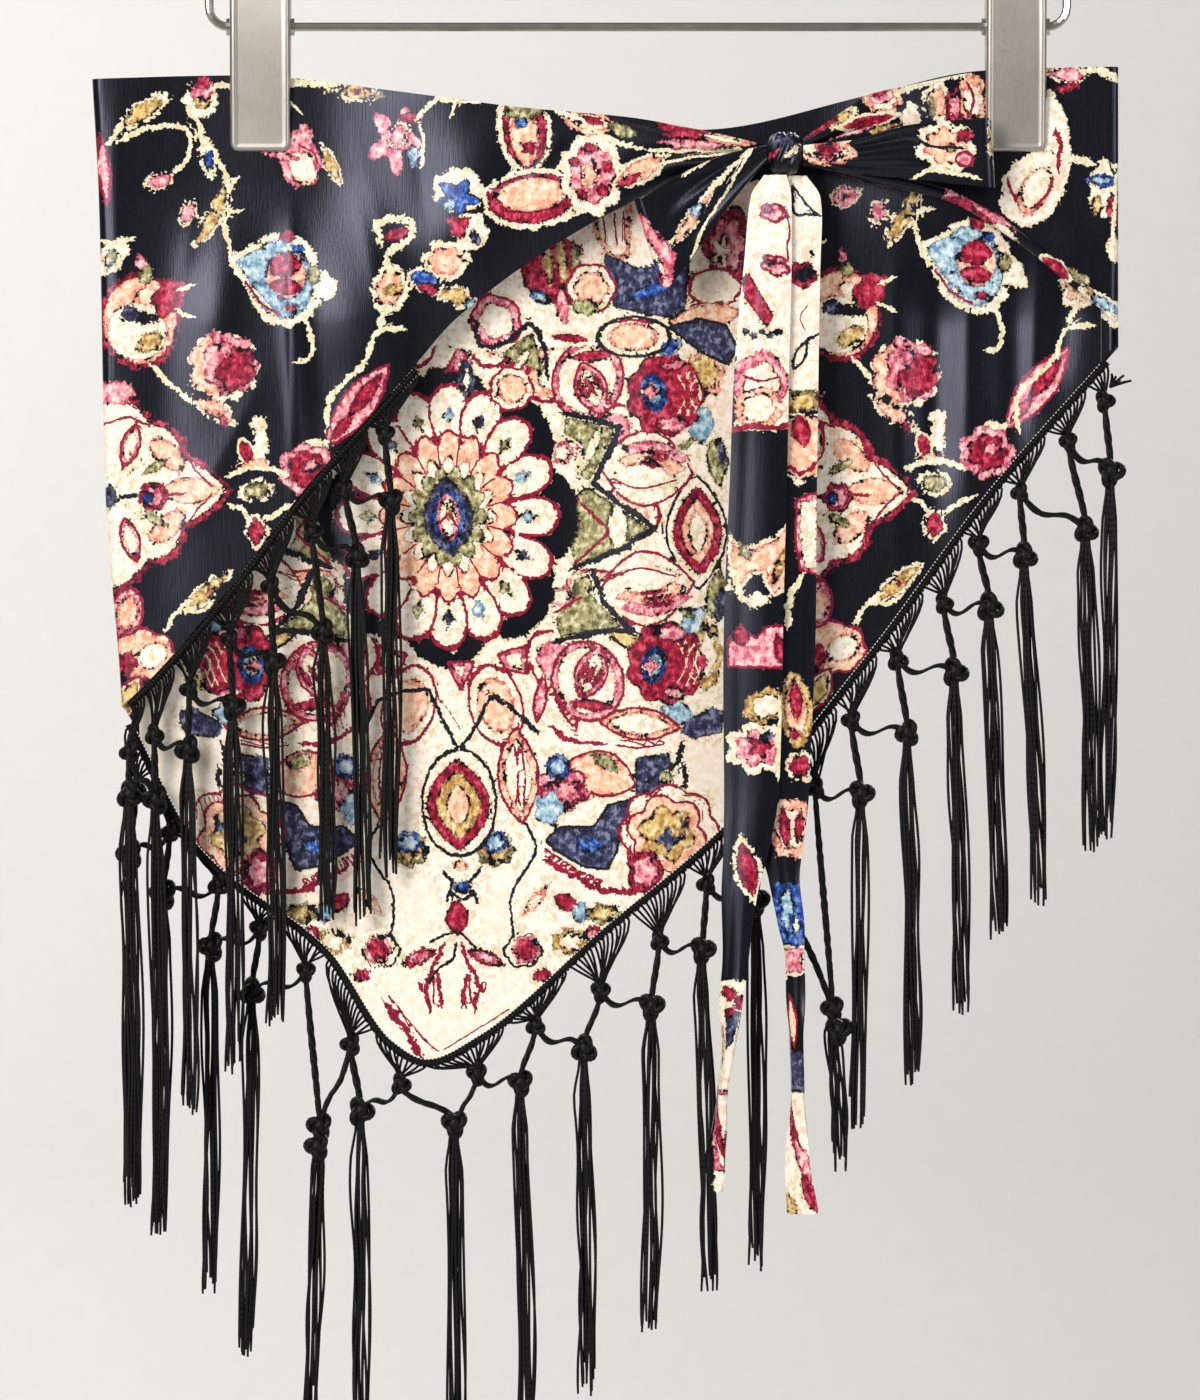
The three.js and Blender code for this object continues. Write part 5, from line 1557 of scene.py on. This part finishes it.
def knots_at(centres, size, cord, y):
    """Each knot is a trefoil: (sin t + 2 sin 2t, cos t - 2 cos 2t, -sin 3t), with a rounded core."""
    t = np.linspace(0, 2 * np.pi, 34)[None, :]
    turn = vary(0, 2 * np.pi, len(centres))
    u, v, w = np.sin(t) + 2 * np.sin(2 * t), np.cos(t) - 2 * np.cos(2 * t), -np.sin(3 * t)
    x, z = u * np.cos(turn) - v * np.sin(turn), u * np.sin(turn) + v * np.cos(turn)
    grow = size / 3 * vary(0.9, 1.12, len(centres))
    across, up = centres[:, :1], centres[:, 1:]
    paths = xyz(across + x * grow, y + w * grow * 1.4, up + z * grow * 1.15)
    s = np.linspace(-1, 1, 9)
    core = xyz(across, y, up + s * size * 0.95)
    swell = np.sqrt(np.maximum(0.02, 1 - s**2)) * size * 0.72
    return [tubes(paths, cord, 6), tubes(core, swell, 8)]


def links(start, end, y, sag, threads=4, loose=0.9):
    """Bundles of threads between knots: a line with a low wave, its threads twisted round each other."""
    t = np.linspace(0, 1, 18)[None, :]
    x = mix(start[:, :1], end[:, :1], t)
    z = mix(start[:, 1:], end[:, 1:], t) - sag * np.sin(2 * np.pi * t) - sag * 0.6 * np.sin(np.pi * t)
    long = np.hypot(end[:, 0] - start[:, 0], end[:, 1] - start[:, 1])[:, None]
    parts = []
    for k in range(threads):
        spin = 2 * np.pi * (k / threads + t * long / 26)
        spread = loose * (0.6 + 0.4 * np.sin(np.pi * t))
        path = xyz(x + spread * np.cos(spin), y + spread * np.sin(spin), z + spread * 0.5 * np.cos(spin))
        parts.append(tubes(path, LINK_THREAD, 5))
    return parts


def tassels(rows, y):
    """Cords from the lower knots: they part over the first centimetres, hang with a slight wave and
    end a little unevenly."""
    count = len(rows)
    knot_x, knot_z, end_x, end_z = (rows[:, k:k + 1] for k in (2, 3, 4, 5))
    t = np.linspace(0, 1, 28)[None, :]
    parts = []
    for k in range(TASSEL_CORDS):
        side = (k / (TASSEL_CORDS - 1) - 0.5) * TASSEL_WIDTH + vary(-0.7, 0.7, count)
        depth = vary(-1.5, 1.5, count)
        drop = vary(0, 20, count) * vary(0.3, 1, count)
        length = (knot_z - BELOW_KNOT) - (end_z + drop)
        spread = (0.42 + 0.58 * smooth(0, 0.13, t)) * (0.8 + 0.2 * np.cos(5 * t + k))
        sway = vary(0.15, 0.7, count) * np.sin(2 * np.pi * (t * vary(1.0, 2.4, count) + vary(0, 1, count)))
        lean = mix(knot_x, end_x, smooth(0, 1, t) * 0.5 + t * 0.5)
        x = lean + side * spread + sway * smooth(0, 0.2, t)
        path = xyz(x, y + depth * spread, knot_z - BELOW_KNOT - length * t)
        parts.append(tubes(path, TASSEL_CORD * np.where(t > 0.985, 0.8, 1), 5))
    return parts


def curl_ends(root, y, count=7):
    """Short ends of thread that fan up and out from a corner, on shallow arcs."""
    angle = np.radians(np.linspace(18, 78, count))[:, None] + vary(-0.1, 0.1, count)
    t = np.linspace(0, 1, 7)[None, :]
    reach = vary(7, 11, count) * t
    x = root[0] + reach * np.cos(angle) - 1.5 * t**2
    z = root[1] + reach * np.sin(angle) * (1 - 0.3 * t)
    return xyz(x, y - 1.2 * t, z)


def fringe(name, rows, second, edge, depth, y, start, end, step, extra=None, loose=None):
    """A whole fringe: strip, fans with a thread at every step, two rows of knots, links and tassels.
    second is a knot tied again right below a lower one. An extra upper knot, where the hem turns,
    is tied to the first lower knot beside it."""
    rows, second = np.array(rows, float), np.reshape(second, (-1, 2)).astype(float)
    upper, lower = rows[:, :2], rows[:, 2:4]
    parts = []
    fine, fine_out = edge_points(edge, depth, start, end, 1.5)
    parts += hem_parts(fine, fine_out)
    anchors, anchor_out = edge_points(edge, depth, start, end, step)
    all_upper = np.concatenate([upper, extra[None]]) if extra is not None else upper
    parts += fans(anchors, anchor_out, all_upper, y)
    parts += knots_at(all_upper, *UPPER_KNOT, y)
    parts += knots_at(lower, *LOWER_KNOT, y)
    parts += links(upper - [0, 2], lower + [0, 3], y, 0.7)
    follow = all_upper[1:]
    parts += links(follow, lower[:len(follow)], y, 2.6)
    parts += knots_at(second, *SECOND_KNOT, y)
    if extra is not None:
        parts += links(extra[None] - [0, 2], EXTRA_GOAL + [2, 3], y, 1.0, 3, 0.8)
    if loose is not None:
        parts.append(tubes(curl_ends(loose, y), THREAD, 4))
    parts += tassels(rows, y)
    return bundle(name, parts)


# %% Fringe pieces
fringe_flap = fringe("fringe_left_flap", LEFT_FLAP_FRINGE, [], LEFT_FLAP_EDGE, flap_front,
                     FRONT_FRINGE_Y, -90, -204, 1.5)
fringe_left = fringe("fringe_left_hem", LEFT_HEM_FRINGE, [-128.5, -608], BACK_EDGE, back_y,
                     BACK_FRINGE_Y, -202, APEX_X, 2.2)
fringe_right = fringe("fringe_right_hem", RIGHT_HEM_FRINGE, [80.5, -561.5], BACK_EDGE, back_y,
                      BACK_FRINGE_Y, 186, APEX_X, 2.2, np.array([-64.5, -579.0]), (189, -304))

# %% [markdown]
# ## The metal
# The hanger's wire is steel with a nickel plate, drawn and then polished. The clips are pressed from
# sheet and brushed, so they are greyer, with a fine grain; their rims look brighter where they catch
# the light. These nodes keep their CAD shapes and only get their finish.

# %% Metal finishes
def plated_wire():
    made, tree, place = new_material("steel_wire_nickel_plated")
    haze = noise(tree, place, 120.0, 3.0)
    shine(tree, linear("#b9b4ae"), Metallic=1.0, Roughness=between(tree, haze, 0.16, 0.32))
    return made


def brushed_sheet():
    made, tree, place = new_material("steel_sheet_brushed_nickel")
    grain = noise(tree, stretched(tree, place, 3000.0, 3000.0, 260.0), 1.0, 3.0)
    tint = layer(tree, noise(tree, place, 70.0, 4.0), linear("#a7a29c"), linear("#c3beb8"))
    shine(tree, tint, Metallic=1.0, Roughness=between(tree, grain, 0.34, 0.52),
          Normal=relief(tree, grain, 0.1, 0.0002))
    return made


WIRE_FINISH, CLIP_FINISH = plated_wire(), brushed_sheet()

# %% [markdown]
# The front jaws are what the eye meets first, so they are pressed anew: a channel with rounded lower
# corners and a rolled rim that stands a third of a millimetre above the face.

# %% Front jaws
JAW_FRONT = [(-210, -3.6), (-160, -9), (-136, -10)]
JAW_BACK = [(-210, -2.1), (-174, -2.1), (-171, -0.6), (-150, -0.6), (-136, -8.2)]
JAW_SHEET, JAW_ROLL, JAW_CORNER, JAW_HEIGHT = 1.0, 1.2, 3.0, 74.0
RIM_HEIGHT, RIM_SLOPE = 0.35, (1.3, 2.1)


def jaw_grid(centre_x):
    """Distance to the rim rolls the edge over a quarter circle and sinks the face inside it."""
    rim = np.array([0, 0.1, 0.35, 0.75, 1.2, 1.7, 2.3, 3.0])
    width = CLIP["width"] - JAW_SHEET
    from_left = np.concatenate([rim, np.linspace(3, width - 3, 10)[1:-1], width - rim[::-1]])
    up = np.concatenate([rim, np.linspace(3, JAW_HEIGHT, 30)[1:]])
    corner = JAW_CORNER - np.sqrt(JAW_CORNER**2 - (JAW_CORNER - np.clip(up, 0, JAW_CORNER)) ** 2)
    share = from_left / width * 2 - 1
    x = centre_x + share[:, None] * (width / 2 - corner)[None]
    z = CLIP["bottom"] + JAW_SHEET / 2 + up[None]
    inward = np.minimum(np.minimum(from_left, width - from_left)[:, None], up[None])
    roll = JAW_ROLL - np.sqrt(JAW_ROLL**2 - (JAW_ROLL - np.clip(inward, 0, JAW_ROLL)) ** 2)
    y = look_up(JAW_FRONT, z) + JAW_SHEET / 2 + roll + RIM_HEIGHT * smooth(*RIM_SLOPE, inward)
    face = xyz(x, y, z)
    face = np.concatenate([face[:1], face, face[-1:]])
    face[[0, -1], :, 1] = look_up(JAW_BACK, face[[0, -1], :, 2])
    face = np.concatenate([face[:, :1], face], 1)
    face[:, 0, 1] = look_up(JAW_BACK, face[:, 0, 2])
    return face


for side, sign in (("left", -1), ("right", 1)):
    front_jaw = new_piece(f"pressed_jaw_{side}", *wall(jaw_grid(sign * CLIP["offset"]), JAW_SHEET))
    dress(front_jaw, CLIP_FINISH, f"clip_{side}_front_jaw")

# %% Finishes of the hanger
for name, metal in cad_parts.items():
    if name.startswith(("hanger", "clip")) and not name.endswith("front_jaw"):
        metal.data.materials.clear()
        metal.data.materials.append(CLIP_FINISH if name.endswith("jaw") else WIRE_FINISH)

# %% [markdown]
# ## The cut of the cloth
# Cloth hardly stretches, so every sheet says what it was cut to. The whole scarf is one triangle;
# what shows is told here sheet by sheet, each as the size of the cloth in it.


cuts = [
    (back_panel, back_grid(), (0.40, 0.395), "hung", ["clip_left_back_jaw", "clip_right_back_jaw"],
     [fringe_left, fringe_right]),
    (left_flap, left_grid(), (0.29, 0.265), "hung", ["clip_left_front_jaw"], [fringe_flap]),
    (right_flap, right_grid(), (0.15, 0.12), "hung", ["clip_right_front_jaw"], []),
    (bow_loop_left, left_loop, (0.13, 0.045), "folded", ["tie_knot"], []),
    (bow_loop_right, right_loop, (0.16, 0.03), "folded", ["tie_knot"], []),
    (tie_front, front_grid, (0.0245, 0.406), "hung", ["tie_knot"], []),
    (tie_back, rear_grid, (0.0245, 0.415), "hung", ["tie_knot"], []),
]

# %% [markdown]
# ## Studio
# The scarf hangs before a pale plain wall that curves into the floor, in soft light from large
# panels, brighter from the left.

# %% Stage and light
WALL_Y, FLOOR_Z = 6.5, -1.6


def backdrop():
    """A sheet that hangs well behind, turns through a quarter circle and runs forward as the floor."""
    turn = np.linspace(0, np.pi / 2, 14)[1:]
    y = [np.full(12, WALL_Y), WALL_Y - 0.6 * (1 - np.cos(turn)), np.linspace(WALL_Y - 0.8, -1.9, 12)]
    z = [np.linspace(5.0, FLOOR_Z + 0.6, 12), FLOOR_Z + 0.6 * (1 - np.sin(turn)), np.full(12, FLOOR_Z)]
    x = np.linspace(-5, 5, 9)[:, None]
    grid = xyz(x, np.concatenate(y), np.concatenate(z)) / MM
    vertices = grid.reshape(-1, 3)
    index = np.arange(len(vertices)).reshape(grid.shape[:2])
    piece = new_piece("backdrop", vertices, [cells(index)[:, OTHER_WAY]])
    made, tree, place = new_material("paper_backdrop_matt")
    tint = layer(tree, noise(tree, place, 40.0, 3.0), linear("#d0cfcd"), linear("#d4d3d1"))
    shine(tree, tint, Roughness=0.9)
    piece.data.materials.append(made)


def soft_light(name, place, aim, size, power, tint):
    lamp = bpy.data.lights.new(name, "AREA")
    lamp.shape, lamp.size, lamp.size_y = "RECTANGLE", size[0], size[1]
    lamp.energy = power
    lamp.color = linear(tint, False)
    carrier = bpy.data.objects.new(name, lamp)
    bpy.context.scene.collection.objects.link(carrier)
    carrier.location = place
    carrier.rotation_euler = (Vector(aim) - Vector(place)).to_track_quat("-Z", "Y").to_euler()


backdrop()
soft_light("key_left", (-1.35, -2.5, 0.6), (0, 0, -0.42), (1.1, 1.8), 82, "#fffaf3")
soft_light("fill_right", (2.2, -2.0, 0.1), (0, 0, -0.45), (1.2, 2.0), 32, "#f6f8ff")
soft_light("wall_wash", (-3.2, 2.6, 2.4), (-0.9, 6.5, -0.7), (3.0, 2.0), 330, "#fffdfb")
soft_light("back_light", (1.2, 2.4, 1.3), (0, 0, -0.4), (1.6, 1.6), 60, "#fdfcfa")
world = bpy.data.worlds.new("studio_air")
world.use_nodes = True
air = world.node_tree.nodes["Background"].inputs
air[0].default_value = linear("#f2f1ee")
air[1].default_value = 0.25
bpy.context.scene.world = world
bpy.context.scene.view_settings.view_transform = "Standard"
